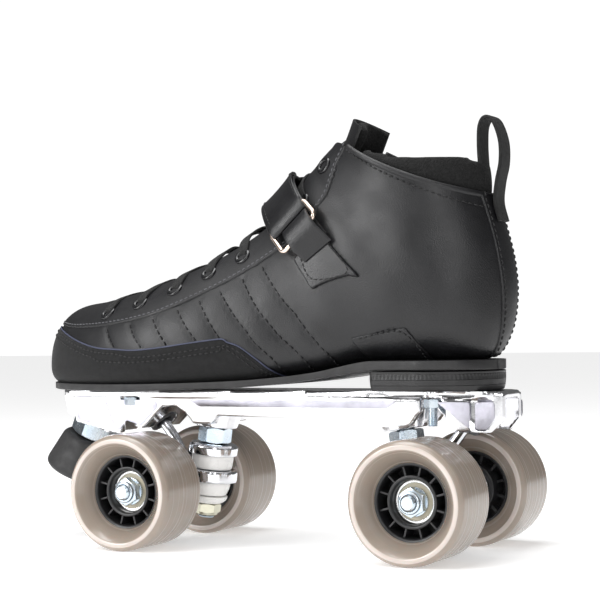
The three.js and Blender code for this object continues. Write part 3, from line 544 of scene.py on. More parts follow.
class Nodes:
    """A small helper for building one material's node tree."""

    def __init__(self, name):
        self.material = bpy.data.materials.new(name)
        self.material.use_nodes = True
        self.tree = self.material.node_tree
        self.shader = self.tree.nodes["Principled BSDF"]
        coordinates = self.tree.nodes.new("ShaderNodeTexCoord")
        self.place = coordinates.outputs["Object"]

    def new(self, kind, **inputs):
        node = self.tree.nodes.new("ShaderNode" + kind)
        for key, value in inputs.items():
            numbered = key[0] == "i" and key[1:].isdigit()
            socket = node.inputs[int(key[1:]) if numbered else key]
            if isinstance(value, bpy.types.NodeSocket):
                self.tree.links.new(value, socket)
            else:
                socket.default_value = value
        return node

    def stretched(self, scale):
        return self.new("Mapping", Vector=self.place, Scale=scale).outputs["Vector"]

    def noise(self, scale, detail=3.0, roughness=0.55, vector=None):
        node = self.new("TexNoise", Vector=vector or self.place, Scale=scale, Detail=detail,
                        Roughness=roughness)
        return node.outputs["Fac"]

    def cells(self, scale, feature="F1", vector=None):
        node = self.new("TexVoronoi", Vector=vector or self.place, Scale=scale)
        node.feature = feature
        return node.outputs["Distance"]

    def waves(self, scale, direction, distortion=0.0, vector=None):
        node = self.new("TexWave", Vector=vector or self.place, Scale=scale, Distortion=distortion)
        node.bands_direction = direction
        return node.outputs["Fac"]

    def maths(self, kind, a, b=0.5):
        node = self.new("Math", i0=a, i1=b)
        node.operation = kind
        return node.outputs["Value"]

    def between(self, fac, low, high, start=0.3, end=0.7):
        node = self.new("MapRange", Value=fac)
        for key, value in (("From Min", start), ("From Max", end), ("To Min", low), ("To Max", high)):
            node.inputs[key].default_value = value
        return node.outputs["Result"]

    def colours(self, fac, stops):
        node = self.new("ValToRGB", Fac=fac)
        ramp = node.color_ramp
        while len(ramp.elements) < len(stops):
            ramp.elements.new(0.5)
        for element, (place, colour) in zip(ramp.elements, stops):
            element.position = place
            element.color = (*colour, 1)
        return node.outputs["Color"]

    def bump(self, *layers):
        """Layers of (height, strength, distance in metres), one over another."""
        normal = None
        for height, strength, distance in layers:
            node = self.new("Bump", Height=height, Strength=strength, Distance=distance)
            if normal is not None:
                self.tree.links.new(normal, node.inputs["Normal"])
            normal = node.outputs["Normal"]
        self.tree.links.new(normal, self.shader.inputs["Normal"])

    def set(self, **inputs):
        for key, value in inputs.items():
            socket = self.shader.inputs[key.replace("_", " ")]
            if isinstance(value, bpy.types.NodeSocket):
                self.tree.links.new(value, socket)
            else:
                socket.default_value = value
        return self.material


def leather(name, tone=1.0, rough=0.4, grain=1500, depth=0.00012):
    n = Nodes(name)
    patches = n.noise(38, 4)
    base = n.colours(patches, [(0.3, (0.0042 * tone, 0.0042 * tone, 0.005 * tone)),
                               (0.7, (0.0085 * tone, 0.0085 * tone, 0.0098 * tone))])
    pebbles = n.cells(grain)
    pores = n.noise(grain * 2.2, 2)
    roughness = n.between(n.noise(95, 5), rough - 0.05, rough + 0.09)
    n.bump((n.noise(55, 3), 0.16, 0.0006), (pebbles, 0.75, depth), (pores, 0.4, depth * 0.5))
    return n.set(Base_Color=base, Roughness=roughness, Specular_IOR_Level=0.45, Coat_Weight=0.04,
                 Coat_Roughness=0.3)


def microfibre(name):
    n = Nodes(name)
    nap = n.noise(2600, 3, vector=n.stretched((0.35, 0.35, 1.6)))
    base = n.colours(n.noise(300, 5), [(0.3, (0.005, 0.005, 0.0052)), (0.75, (0.011, 0.011, 0.0116))])
    n.bump((nap, 0.7, 0.00025), (n.noise(70, 2), 0.2, 0.0005))
    return n.set(Base_Color=base, Roughness=n.between(nap, 0.78, 0.95), Sheen_Weight=0.05,
                 Sheen_Roughness=0.5, Specular_IOR_Level=0.3)


def knit(name, tone=1.0):
    n = Nodes(name)
    loops = n.cells(1300)
    fuzz = n.noise(3200, 4)
    base = n.colours(n.noise(900, 4), [(0.3, (0.006 * tone,) * 3), (0.75, (0.018 * tone,) * 3)])
    n.bump((loops, 0.9, 0.0004), (fuzz, 0.6, 0.0002))
    return n.set(Base_Color=base, Roughness=0.95, Sheen_Weight=0.06, Sheen_Roughness=0.5,
                 Specular_IOR_Level=0.2)


def webbing(name, rib=900.0, tone=1.0):
    n = Nodes(name)
    ribs = n.waves(rib, "Z", 1.0)
    cross = n.waves(rib, "Y", 1.0)
    weave = n.maths("MULTIPLY", ribs, cross)
    base = n.colours(n.noise(500, 4), [(0.3, (0.008 * tone,) * 3), (0.75, (0.022 * tone,) * 3)])
    n.bump((weave, 0.8, 0.0004), (n.noise(2500, 2), 0.4, 0.0002))
    return n.set(Base_Color=base, Roughness=n.between(weave, 0.65, 0.85), Sheen_Weight=0.05,
                 Sheen_Roughness=0.5, Specular_IOR_Level=0.3)


def thread(name, colour):
    n = Nodes(name)
    strands = n.noise(2800, 2)
    dark = tuple(0.7 * c for c in colour)
    n.bump((strands, 0.5, 0.0001))
    return n.set(Base_Color=n.colours(strands, [(0.3, dark), (0.7, colour)]), Roughness=0.6)


def rubber(name, tone=1.0, rough=0.5):
    n = Nodes(name)
    base = n.colours(n.noise(120, 5), [(0.3, (0.007 * tone, 0.0069 * tone, 0.0073 * tone)),
                                       (0.75, (0.014 * tone, 0.0137 * tone, 0.0143 * tone))])
    n.bump((n.noise(1500, 3), 0.3, 0.0001), (n.noise(150, 2), 0.1, 0.0004))
    return n.set(Base_Color=base, Roughness=n.between(n.noise(220, 4), rough - 0.08, rough + 0.12))


def urethane(name, rough=0.2):
    """Cast urethane: fine streaks round the tread, and a paler flat lip at each face."""
    n = Nodes(name)
    streaks = n.noise(1.0, 2, 0.4, vector=n.stretched((3, 620, 3)))
    axes = n.new("SeparateXYZ", Vector=n.place).outputs
    squares = [n.maths("POWER", n.maths("ABSOLUTE", axes[k], 0.0), 2.0) for k in ("X", "Z")]
    radius = n.maths("SQRT", n.maths("ADD", *squares), 0.0)
    face = n.between(n.maths("ABSOLUTE", axes["Y"], 0.0), 0.0, 1.0, 0.0186, 0.0189)
    lip = n.maths("MULTIPLY", n.between(radius, 0.0, 1.0, 0.0261, 0.0265), face)
    shade = n.maths("ADD", n.maths("MULTIPLY", streaks, 0.22), n.maths("MULTIPLY", n.noise(30, 2), 0.5))
    shade = n.maths("ADD", shade, n.maths("MULTIPLY", lip, 0.45))
    base = n.colours(shade, [(0.2, (0.270, 0.222, 0.182)), (0.5, (0.345, 0.290, 0.244)),
                             (0.85, (0.56, 0.50, 0.46))])
    n.bump((streaks, 0.1, 0.0001))
    return n.set(Base_Color=base, Roughness=n.between(streaks, rough, rough + 0.1), Coat_Weight=0.4,
                 Coat_Roughness=0.1, Subsurface_Weight=0.12, Subsurface_Scale=0.004)


def plastic(name, colour, rough=0.4, speckle=0.15):
    n = Nodes(name)
    dark = tuple(c * (1 - speckle) for c in colour)
    n.bump((n.noise(900, 3), 0.15, 0.0001))
    return n.set(Base_Color=n.colours(n.noise(160, 4), [(0.3, dark), (0.7, colour)]),
                 Roughness=n.between(n.noise(260, 3), rough - 0.05, rough + 0.08))


def metal(name, colour, rough, dent=0.15, scale=260, blotch=0.12, tint=None):
    n = Nodes(name)
    dark = tuple(c * (1 - blotch) for c in (tint or colour))
    n.bump((n.noise(scale, 4), dent, 0.0003), (n.noise(scale * 7, 2), dent, 0.00006))
    return n.set(Base_Color=n.colours(n.noise(90, 5), [(0.3, dark), (0.7, colour)]), Metallic=1.0,
                 Roughness=n.between(n.noise(180, 5), rough, rough + 0.12))


LEATHER_SKIN = leather("leather_smooth")
OVERLAY_SKIN = leather("leather_overlay", 1.05, 0.42)
STRAP_SKIN = leather("leather_strap", 0.95, 0.34)
GUARD_SKIN = microfibre("microfibre_guard")
KNIT = knit("knit_padding")
LINING = knit("knit_lining", 0.8)
LACE = webbing("woven_lace", 1100, 0.8)
TAPE = webbing("woven_tape", 900, 0.9)
BLACK_THREAD = thread("thread_black", (0.004, 0.004, 0.0045))
EDGE_TRIM = thread("trim_edge", (0.045, 0.052, 0.095))
GREY_THREAD = thread("thread_grey", (0.11, 0.11, 0.12))
SOLE = rubber("rubber_sole", 1.3, 0.5)
HEEL = rubber("rubber_heel", 1.15, 0.42)
STOP = rubber("rubber_stop", 1.5, 0.62)
TYRE = urethane("urethane_tyre")
HUB = plastic("nylon_hub", (0.014, 0.014, 0.015), 0.36)
EYELET = plastic("enamel_eyelet", (0.008, 0.008, 0.009), 0.16)
SEAL = plastic("bearing_shield", (0.55, 0.50, 0.38), 0.3)
BUSHING = plastic("urethane_bushing", (0.93, 0.92, 0.90), 0.28, 0.03)
CUP = plastic("nylon_cup", (0.05, 0.05, 0.055), 0.4)
CHROME = metal("chrome_plate", (0.86, 0.87, 0.9), 0.06, 0.06)
ZINC = metal("zinc_plate", (0.72, 0.77, 0.81), 0.2, 0.12, tint=(0.55, 0.68, 0.80))
GOLDEN_ZINC = metal("zinc_yellow", (0.74, 0.72, 0.58), 0.25, 0.12)
STEEL = metal("bearing_steel", (0.8, 0.8, 0.8), 0.12, 0.05)
POLISHED = metal("aluminium_polished", (0.88, 0.88, 0.9), 0.12, 0.12, 120)
CAST = metal("aluminium_cast", (0.56, 0.55, 0.62), 0.3, 0.6, 500, 0.4)
RING_STEEL = metal("ring_rose", (0.80, 0.66, 0.57), 0.16, 0.06)


# ---------------------------------------------------------------- wheels

WHEEL_RADIUS = 31
CORE_RADIUS = 19.5
OUTER_FACE, INNER_FACE = -19, 19
BEARING_RADIUS = 11
SPOKES = 12


def tyre_profile():
    """(radius, along) round the tyre; the inner cone has fine turned grooves."""
    corners = [(CORE_RADIUS, -10, 0.6), (26.5, OUTER_FACE, 0.8), (28.6, OUTER_FACE, 0.6),
               (WHEEL_RADIUS, -16.6, 1.6), (WHEEL_RADIUS, 16.6, 1.6), (28.6, INNER_FACE, 0.6),
               (26.5, INNER_FACE, 0.4)]
    profile = rounded(corners + [(26.4, INNER_FACE - 0.1)], steps=5)
    grooves, depth = 11, 0.28
    start, end = np.array([26.3, INNER_FACE - 0.2]), np.array([CORE_RADIUS + 0.3, INNER_FACE - 5])
    for k in range(grooves * 3):
        t = k / (grooves * 3 - 1)
        into = depth if k % 3 == 1 else 0
        profile.append((mix(start[0], end[0], t), mix(start[1], end[1], t) - into))
    return profile + [(CORE_RADIUS, INNER_FACE - 5.4)]


def hub_shapes():
    """A rim, a bearing housing and spokes that are thin blades, deep as the hub."""
    rim = turned(rounded([(17.9, -8.6, 0.5), (18.4, -9.6, 0.5), (CORE_RADIUS - 0.05, -10, 0.2),
                          (CORE_RADIUS - 0.05, 13.9, 0.2), (18.2, 13.9, 0.5), (17.6, 12.5, 0.5)],
                         closed=True), 96, closed=True)
    housing = turned(rounded([(BEARING_RADIUS + 0.1, -6.5, 0.4), (11.9, -8.2, 0.6), (13.4, -8.2, 0.6),
                              (13.5, 18.6, 0.6), (BEARING_RADIUS + 0.1, 18.8, 0.4)], closed=True),
                     96, closed=True)
    shapes = [rim, housing]
    for k in range(SPOKES):
        turn = (k + 0.5) * 2 * math.pi / SPOKES
        corners = rounded([(-0.55, -7.6, 0.3), (0.55, -7.6, 0.3), (0.75, 12, 0.3), (-0.75, 12, 0.3)],
                          closed=True)
        rows = [[(radius, side, along) for side, along in corners] for radius in (13.0, 15.6, 18.2)]
        points = np.array(rows).reshape(-1, 3)
        spin = np.array([[math.cos(turn), -math.sin(turn), 0], [math.sin(turn), math.cos(turn), 0],
                         [0, 0, 1]])
        shapes.append((points @ spin.T, grid_faces(3, len(corners), ring=True)))
    web = turned(rounded([(13.2, 2.5), (18.2, 2.5), (18.2, 4.5), (13.2, 4.5)], closed=True), 72, True)
    return joined(*shapes, web)


def bearing_shapes(outward):
    races = turned(rounded([(9.5, 0.05, 0.1), (9.8, 0, 0.3), (BEARING_RADIUS, 0, 0.4),
                            (BEARING_RADIUS, 7, 0.4), (9.5, 7, 0.1)], closed=True), 64, True)
    inner = turned(rounded([(4.3, 0, 0.3), (5.9, 0, 0.3), (6.0, 7, 0.3), (4.3, 7, 0.3)], closed=True),
                   48, True)
    points, faces = joined(races, inner)
    if not outward:
        points = points * [1, 1, -1] + [0, 0, 7]
    return points, faces


def shield_shape():
    return turned(rounded([(6.05, 0.5, 0.2), (6.6, 0.35, 0.2), (8.9, 0.35, 0.2), (9.45, 0.55, 0.2),
                           (9.45, 6.5, 0.2), (6.05, 6.5, 0.2)], closed=True), 64, True)


def lay(shape):
    """A shape turned about Z, laid with its axis along Y."""
    points, faces = shape
    return np.stack([points[:, 0], points[:, 2], -points[:, 1]], -1), faces


def build_wheel(prefix, end_x, side):
    body = f"{prefix}_wheel"
    turn = Matrix.Rotation(math.pi, 4, "Z") if side > 0 else None
    place = at(end_x, side * HALF_TRACK, AXLE_Z, turn)

    def put(name, shape, material, slot, replaces=(), sharp=35):
        points, faces = lay(shape)
        add(name, points, faces, body, material, slot, replaces, sharp, place)

    put(f"{prefix}_wheel_tyre", turned(tyre_profile(), 160, closed=True), TYRE, "urethane",
        [f"{prefix}_tyre"], 50)
    put(f"{prefix}_wheel_core", hub_shapes(), HUB, "core", [f"{prefix}_hub"])
    for where, start, outward in (("outer", -4, True), ("inner", 13.3, False)):
        points, faces = bearing_shapes(outward)
        put(f"{prefix}_races_{where}", (points + [0, 0, start], faces), STEEL, "bearing_steel",
            [f"{prefix}_bearing_{where}"])
        points, faces = shield_shape()
        if not outward:
            points = points * [1, 1, -1] + [0, 0, 7]
        put(f"{prefix}_shield_{where}", (points + [0, 0, start], faces), SEAL, "bearing_steel")


def build_axle(prefix, end_x, truck):
    """The axle with its threaded ends, and the locking nut at each end."""
    reach = HALF_TRACK + 14
    plain = reach - 17
    half = threaded(4, plain, reach, 1.0, 0.35)
    profile = [(r, -z) for r, z in half][::-1] + half
    points, faces = lay(turned(profile, 40))
    add(f"{prefix}_axle_rod", points, faces, truck, ZINC, "zinc", [f"{prefix}_axle"], 30,
        at(end_x, 0, AXLE_Z))
    for name, side in (("outer", -1), ("inner", 1)):
        hexes = hexagon(13, 5.9, 4.15)
        collar = turned(rounded([(4.3, 5.6, 0.2), (5.9, 5.6, 0.2), (5.7, 7.6, 0.7), (4.4, 8, 0.3)],
                                closed=True), 48, True)
        washer = turned(rounded([(4.3, -0.1, 0.1), (7.4, -0.1, 0.3), (7.4, 1.1, 0.4), (4.3, 1.1, 0.1)],
                                closed=True), 48, True)
        points, faces = joined(hexes, collar, washer)
        points, faces = lay((points * [1, 1, -1], faces))
        turn = Matrix.Rotation(math.pi, 4, "Z") if side > 0 else None
        place = at(end_x, side * (HALF_TRACK + 4.3), AXLE_Z, turn)
        add(f"{prefix}_{name}_locking_nut", points, faces, truck, ZINC, "zinc",
            [f"{prefix}_{name}_axle_nut"], 30, place)


for end, sign in (("front", -1), ("rear", 1)):
    for side_name, side in (("outer", -1), ("inner", 1)):
        build_wheel(f"{end}_{side_name}", sign * HALF_WHEELBASE, side)
    build_axle(end, sign * HALF_WHEELBASE, f"{end}_truck")


# ---------------------------------------------------------------- castings, trucks and plate


def cast_from(name, node, voxel, body, material, slot, rounds=3, narrowed=None):
    """A casting: the node's own shape with all its edges softened."""
    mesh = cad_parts[node].data.copy()
    for vertex in mesh.vertices if narrowed else ():
        vertex.co.y *= narrowed((vertex.co.x - ORIGIN_X) / MM)
    source = bpy.data.objects.new(name, mesh)
    scene.collection.objects.link(source)
    remesh = source.modifiers.new("fine", "REMESH")
    remesh.mode = "VOXEL"
    remesh.voxel_size = voxel * MM
    soften = source.modifiers.new("soften", "SMOOTH")
    soften.factor = 0.5
    soften.iterations = rounds
    fewer = source.modifiers.new("fewer", "DECIMATE")
    fewer.ratio = 0.45
    made = bpy.data.meshes.new_from_object(source.evaluated_get(bpy.context.evaluated_depsgraph_get()))
    bpy.data.objects.remove(source)
    made.name = name
    finish_mesh(made, 40)
    obj = bpy.data.objects.new(name, made)
    scene.collection.objects.link(obj)
    return settle(obj, body, material, slot, [node])


KINGPIN_TILT = math.radians(8)
YOKE_X, YOKE_Z = 61.2, 37
KINGPIN_RADIUS = 4.75


def build_truck(end, sign):
    body = f"{end}_truck"
    up = Vector((-sign * math.sin(KINGPIN_TILT), 0, math.cos(KINGPIN_TILT)))
    place = at(sign * YOKE_X, 0, YOKE_Z, facing(up))
    bore = KINGPIN_RADIUS + 0.5
    cast_from(f"{end}_truck_hanger", f"{end}_hanger", 0.8, body, CHROME, "chrome")

    def ring(name, corners, rider, material, slot, node):
        points, faces = turned(rounded(corners, closed=True), 72, True)
        add(f"{end}_{name}", points, faces, rider, material, slot, [f"{end}_{node}"], 35, place)

    ring("bushing_upper", [(bore, 3.6, 0), (11.2, 3.6, 0.8), (11.7, 9, 2), (11.4, 15.4, 0.6),
                           (bore, 15.4, 0)], "chassis", BUSHING, "bushing", "upper_bushing")
    ring("bushing_lower", [(bore, -11.1, 0), (9.6, -11.1, 0.8), (11.2, -7, 2), (11.4, -3.6, 0.8),
                           (bore, -3.6, 0)], "chassis", BUSHING, "bushing", "lower_bushing")
    ring("washer_upper", [(bore, 15.9, 0.2), (11.8, 15.9, 0.3), (11.9, 11.5, 0.4), (13.6, 11.4, 0.7),
                          (13.6, 16.4, 1.6), (11.8, 17.6, 1.2), (bore, 17.6, 0.2)], "chassis", CHROME,
         "chrome", "upper_cup_washer")
    ring("washer_lower", [(bore, -15.8, 0.2), (7.6, -15.8, 1.0), (10.2, -13.6, 1.2), (10.6, -11.5, 0.4),
                          (bore, -11.5, 0.2)], "chassis", BUSHING, "bushing", "lower_cup_washer")
    half = threaded(KINGPIN_RADIUS, -1.0, 23.9, 1.4, 0.45)
    rod = [(r, -z) for r, z in half][::-1] + [(KINGPIN_RADIUS, 30), (0.01, 40)]
    points, faces = turned(rod, 48)
    add(f"{end}_kingpin_bolt", points, faces, "chassis", ZINC, "zinc", [f"{end}_kingpin"], 30, place)
    points, faces = hexagon(16, 8.5, bore)
    add(f"{end}_jam_nut", points + [0, 0, 17.9], faces, "chassis", ZINC, "zinc",
        [f"{end}_kingpin_jam_nut"], 30, place)
    lower, lower_faces = hexagon(13, 5.0, bore)
    collar = turned(rounded([(bore, -1.2, 0.2), (5.9, -1.2, 0.8), (6.1, 0.3, 0), (bore, 0.3, 0)],
                            closed=True), 48, True)
    points, faces = joined((lower + [0, 0, 0.1], lower_faces), collar)
    add(f"{end}_lock_nut", points + [0, 0, -21.2], faces, "chassis", GOLDEN_ZINC, "brassy_zinc",
        [f"{end}_kingpin_lock_nut"], 30, place)
    cast_from(f"{end}_pivot_bush", f"{end}_pivot_cup", 0.5, "chassis", CUP, "bushing")


for end, sign in (("front", -1), ("rear", 1)):
    build_truck(end, sign)

TAIL_START, TAIL_END, TAIL_WIDTH = 100, 120, 0.62


def plate_width(x):
    """How much of its width the plate keeps at x: it narrows towards the rear end."""
    return mix(1, TAIL_WIDTH, float(smooth(x, TAIL_START, TAIL_END)))


cast_from("plate_casting", "plate", 0.75, "chassis", POLISHED, "aluminium", 2, plate_width)

PANEL_EDGE = ((0, 19.9), (0.25, 20.12), (0.8, 20.16))  # how far inside the outline, and at what y
# Sand-cast panels between the polished ribs of the side walls: outlines in side view.
PANELS = [
    [(-138.4, 78.6), (-136.2, 67.4), (-127.5, 65), (-127.5, 78.6)],
    [(-118.2, 78.6), (-112.4, 64), (-108.7, 61.2), (-103.5, 67.4), (-93.6, 64.2), (-82.5, 75),
     (-84, 78.6)],
    [(-57, 75.2), (56, 75.2), (62, 79.2), (-63, 79.2)],
    [(83.4, 78.8), (99.6, 66.4), (101.6, 65.5), (101.6, 78.8)],
    [(104.4, 78.8), (104.4, 65), (110, 64.8), (115, 70.6), (115, 78.8)],
]


def build_panels():
    shapes = []
    for outline in PANELS:
        edge = rounded([(x, z, 1.6) for x, z in outline], closed=True, steps=3)
        count = len(edge)
        middle_point = np.mean(edge, axis=0)
        for side in (-1, 1):
            rows = []
            for inset, y in PANEL_EDGE:
                shrink = [middle_point + (np.array(p) - middle_point)
                          * (1 - inset / max(4, np.linalg.norm(np.array(p) - middle_point)))
                          for p in edge]
                rows.append([(x, side * y, z) for x, z in shrink])
            points = np.array(rows).reshape(-1, 3)
            faces = grid_faces(3, count, ring=True) + [tuple(2 * count + k for k in range(count))]
            shapes.append((points, faces))
    points, faces = joined(*shapes)
    add("plate_cast_panels", points, faces, "chassis", CAST, "aluminium")


build_panels()


PLATE_BOLTS = (("front", -101), ("rear", 80.5))
BOLT_ASIDE, BOLT_DROP = 17.6, 8.3


def build_plate_bolts():
    for end, x in PLATE_BOLTS:
        for name, side in (("outer", -1), ("inner", 1)):
            nut_shape, nut_faces = hexagon(8, 4.4, 2.2)
            half = threaded(2.5, -3, 9.4, 0.9, 0.3, 0.5)
            rod = turned([(r, -z) for r, z in half][::-1] + [(2.5, 4), (0.01, 4)], 32)
            points, faces = joined((nut_shape, nut_faces), rod)
            add(f"plate_bolt_{end}_{name}_steel", points, faces, "chassis", ZINC, "zinc",
                [f"plate_bolt_{end}_{name}"], 30, at(x, side * BOLT_ASIDE, PLATE_TOP - BOLT_DROP))


build_plate_bolts()

STOP_TILT = math.radians(22)


def build_toe_stop():
    place = at(-147, 0, 35, facing((math.sin(STOP_TILT), 0, math.cos(STOP_TILT))))
    pad = rounded([(0.01, 0), (19.6, 0, 1.5), (22.3, 2.4, 1.5), (22.0, 5, 1), (17.8, 21.2, 1.4),
                   (15.8, 22.9, 0.8), (8.4, 22.9, 0.3), (8.4, 8.4), (0.01, 8.4)], steps=5)
    points, faces = turned(pad, 128)
    add("toe_stop_block", points, faces, "toe_stop", STOP, "rubber", ["toe_stop_pad"], 40, place)
    half = threaded(7.7, 23, 46.4, 1.5, 0.5)
    points, faces = turned([(0.01, 8.5), (7.7, 8.5)] + half, 64)
    add("toe_stop_screw", points, faces, "toe_stop", ZINC, "zinc", ["toe_stop_stem"], 30, place)
    nut_shape, nut_faces = hexagon(25, 8.9, 8.25)
    add("toe_stop_nut", nut_shape + [0, 0, 23.7], nut_faces, "chassis", ZINC, "zinc",
        ["toe_stop_lock_nut"], 30, place)


build_toe_stop()


# ---------------------------------------------------------------- the boot's leather

FULL_TURN = (-180, 180)


def guard_limit(s):
    """The angle of the toe guard's top edge at a station."""
    stations = [1.05, 1.18, 2.3, 3.04, 3.96, 4.73, 5.34, 6.0, 7.5, 7.77, 8.0, 8.17, 8.29, 8.42, 8.5]
    angles = [0, 27, 49, 61, 74, 82.6, 85.7, 88, 88.5, 90.1, 94.3, 106, 122, 154, 181]
    return np.interp(s, stations, angles)


EYESTAY = [(1.25, 0), (1.39, 20), (2.2, 43), (3.22, 56), (4.06, 60), (4.92, 63.5), (5.6, 64.2),
           (6.28, 63), (6.9, 60), (7.5, 57.2), (8.18, 55), (9.04, 54), (9.88, 56), (11.2, 52.5),
           (12.32, 48), (14.28, 43.5), (16.2, 46.5), (17.2, 48.5)]
GUARD = [(1.05, 0.5), (1.1, 12), (1.18, 27), (2.3, 49), (3.04, 61), (3.96, 74), (4.73, 82.6),
         (5.34, 85.7), (6.0, 88), (7.5, 88.5), (7.77, 90.1), (8.0, 94.3), (8.17, 106), (8.29, 122),
         (8.42, 154), (8.48, 178)]
BACKSTAY = [(17.2, 160), (16.1, 160.8), (14.92, 160.5), (13.94, 163), (13.24, 166.5), (12.16, 175)]
RIBS = [
    [(4.94, 66), (5.1, 76), (5.28, 84)],
    [(5.6, 66.5), (5.8, 78), (6.02, 87)],
    [(6.18, 65.5), (6.4, 78), (6.6, 88)],
    [(6.74, 63), (7.0, 77), (7.22, 88)],
    [(7.24, 61), (7.45, 75), (7.66, 89)],
    [(7.7, 59), (8.04, 80.5), (8.24, 93), (8.44, 113), (8.5, 146)],
    [(8.22, 57), (8.48, 79.5), (8.76, 98.5), (8.92, 120), (8.92, 154)],
    [(8.7, 56), (9.02, 81.5), (9.22, 96.5), (9.36, 131.5), (9.3, 163)],
]


def outer(path):
    return np.asarray(path, float) * [1, -1]


GUARD_LINE, EYESTAY_LINE, BACKSTAY_LINE = (on_path(outer(p)) for p in (GUARD, EYESTAY, BACKSTAY))
RIB_LINES = [on_path(outer(path)) for path in RIBS]


def mirrored(points, line):
    """Distance to a line of the outer side, for points on either side of the boot."""
    near = distance_to(points, line)
    return np.minimum(near, distance_to(points, line * [1, -1]))


def leather_relief(s, angle, points):
    """The stitched channels and the slight swell of the leather between them."""
    relief = np.zeros(s.shape)
    for line in RIB_LINES:
        near = mirrored(points, line)
        relief -= 0.6 * np.exp(-(near / 1.0) ** 2)
        relief += 0.14 * np.exp(-((near - 5) / 3.5) ** 2)
    crease = np.sin(points[..., 0] * 0.19 + 0.04 * points[..., 2]) * np.sin(points[..., 2] * 0.12 + 1.3)
    return relief + 0.25 * crease * smooth(s, 3, 7)


def build_upper():
    s, angle, faces = mesh_grid((-1, COLLAR), FULL_TURN, 0.07, 1.6)
    points = on_boot(s, angle)
    gap = throat_gap(s, angle, points)
    relief = leather_relief(s, angle, points)
    values = np.stack([s, angle, gap, relief], -1).reshape(-1, 4)
    values, faces = used_only(*cut(values, faces, 2, 0.0))
    s, angle, gap, relief = values.T
    outside = lifted(s, angle, relief)
    add("upper_leather", outside, faces, "chassis", LEATHER_SKIN, "leather", ["upper"], None)
    keep = [face for face in faces if min(s[list(face)]) > 1.8]
    values, faces = used_only(np.stack([s, angle], -1), keep)
    shapes = []
    for depth in (LEATHER, WALL):
        shapes.append((on_boot(values[:, 0], values[:, 1], depth), faces))
    add("upper_lining", *joined(*shapes), "chassis", LINING, "fabric", sharp=None)


def inside_guard(s, angle, points):
    sign = np.where((np.abs(angle) > guard_limit(s)) & (s < 8.5), 1, -1)
    return sign * mirrored(points, GUARD_LINE)


def inside_eyestay(s, angle, points):
    path = np.array(EYESTAY)
    sign = np.where((np.abs(angle) < np.interp(s, path[:, 0], path[:, 1])) & (s > 1.25), 1, -1)
    return np.minimum(sign * mirrored(points, EYESTAY_LINE), throat_gap(s, angle, points) + 0.2)


def inside_backstay(s, angle, points):
    path = np.array(BACKSTAY)[::-1]
    sign = np.where((np.abs(angle) > np.interp(s, path[:, 0], path[:, 1])) & (s > 12.1), 1, -1)
    return sign * mirrored(points, BACKSTAY_LINE)


def inside_shape(corners):
    """A field for a convex patch whose corners are (station, angle)."""
    corners = np.asarray(corners, float)
    outline = on_path(np.vstack([mix(a, b, t) for a, b in zip(corners, np.roll(corners, -1, 0))
                                 for t in (0, 0.25, 0.5, 0.75)] + [corners[0]]), 0.5)
    turns = np.roll(corners, -1, 0) - corners
    way = np.sign(np.cross(turns[0], turns[1]))

    def field(s, angle, points):
        within = np.ones(s.shape, bool)
        for corner, turn in zip(corners, turns):
            within &= (turn[0] * (angle - corner[1]) - turn[1] * (s - corner[0])) * way > 0
        return np.where(within, 1, -1) * distance_to(points, outline)
    return field


def build_overlays():
    overlay("toe_guard", ((-1, 8.6), FULL_TURN), (0.05, 1.8), inside_guard, 1.1, GUARD_SKIN, "leather",
            roll=1.0)
    overlay("eyestay", ((1.1, COLLAR), (-70, 70)), (0.06, 1.2), inside_eyestay, 1.0, OVERLAY_SKIN,
            "leather", roll=0.9)
    for name, sign in (("outer", -1), ("inner", 1)):
        overlay(f"back_strip_{name}", ((12, COLLAR), (sign * 155, sign * 180)), (0.05, 0.8),
                inside_backstay, 0.9, OVERLAY_SKIN, "leather")
        patch = [(9.9, sign * 121), (11.13, sign * 124), (10.96, sign * 172), (9.9, sign * 172)]
        overlay(f"heel_patch_{name}", ((9.7, 11.4), (sign * 115, sign * 176)), (0.025, 1.0),
                inside_shape(patch), 0.9, OVERLAY_SKIN, "leather")


def build_stitches():
    ribs = both_sides(RIB_LINES)
    stitches("stitches_ribs", ribs, -0.3, BLACK_THREAD, 2.7, 1.2, 0.48)
    guard = [sideways(GUARD_LINE[12:], -d) for d in (2.4, 5.0)]
    stitches("stitches_guard", both_sides(guard), 1.1, BLACK_THREAD, 2.2, 1.0, 0.4)
    eyestay = [sideways(EYESTAY_LINE[8:], 1.8)]
    stitches("stitches_eyestay", both_sides(eyestay), 0.95, GREY_THREAD, 1.9, 1.1, 0.3)
    back = [sideways(BACKSTAY_LINE, 1.8)]
    stitches("stitches_back", both_sides(back), 0.9, BLACK_THREAD, 2.2, 1.1, 0.42)
    top = np.array([(COLLAR - 0.42, a) for a in range(-160, -46, 4)], float)
    stitches("stitches_topline", both_sides([top]), 0.05, BLACK_THREAD, 2.3, 1.1, 0.42)
    patch = [(10.02, 123), (11.0, 126.5), (10.86, 168)]
    stitches("stitches_patch", both_sides([patch]), 0.9, BLACK_THREAD, 2.2, 1.1, 0.42)


def build_piping():
    """The thin cut edge of the toe guard."""
    shapes = []
    for line in both_sides([GUARD_LINE]):
        path = lifted(line[:, 0], line[:, 1], 0.7)
        shapes.append(swept(path, boot_normal(line[:, 0], line[:, 1]), round_section(0.42, 8)))
    add("toe_guard_edge", *joined(*shapes), "chassis", EDGE_TRIM, "leather", sharp=None)


def build_topline():
    """The folded edge of the leather round the collar."""
    angle = np.linspace(-312, -48, 160)
    wrapped = np.where(angle < -180, angle + 360, angle)
    path = on_boot(COLLAR, wrapped, 0.9)
    normals = unit(boot_normal(np.full(len(path), COLLAR - 0.05), wrapped))
    section = round_section(1.7, 14, 0.85)
    points, faces = swept(path, normals, section)
    add("collar_binding", points, faces, "chassis", OVERLAY_SKIN, "leather", sharp=None)


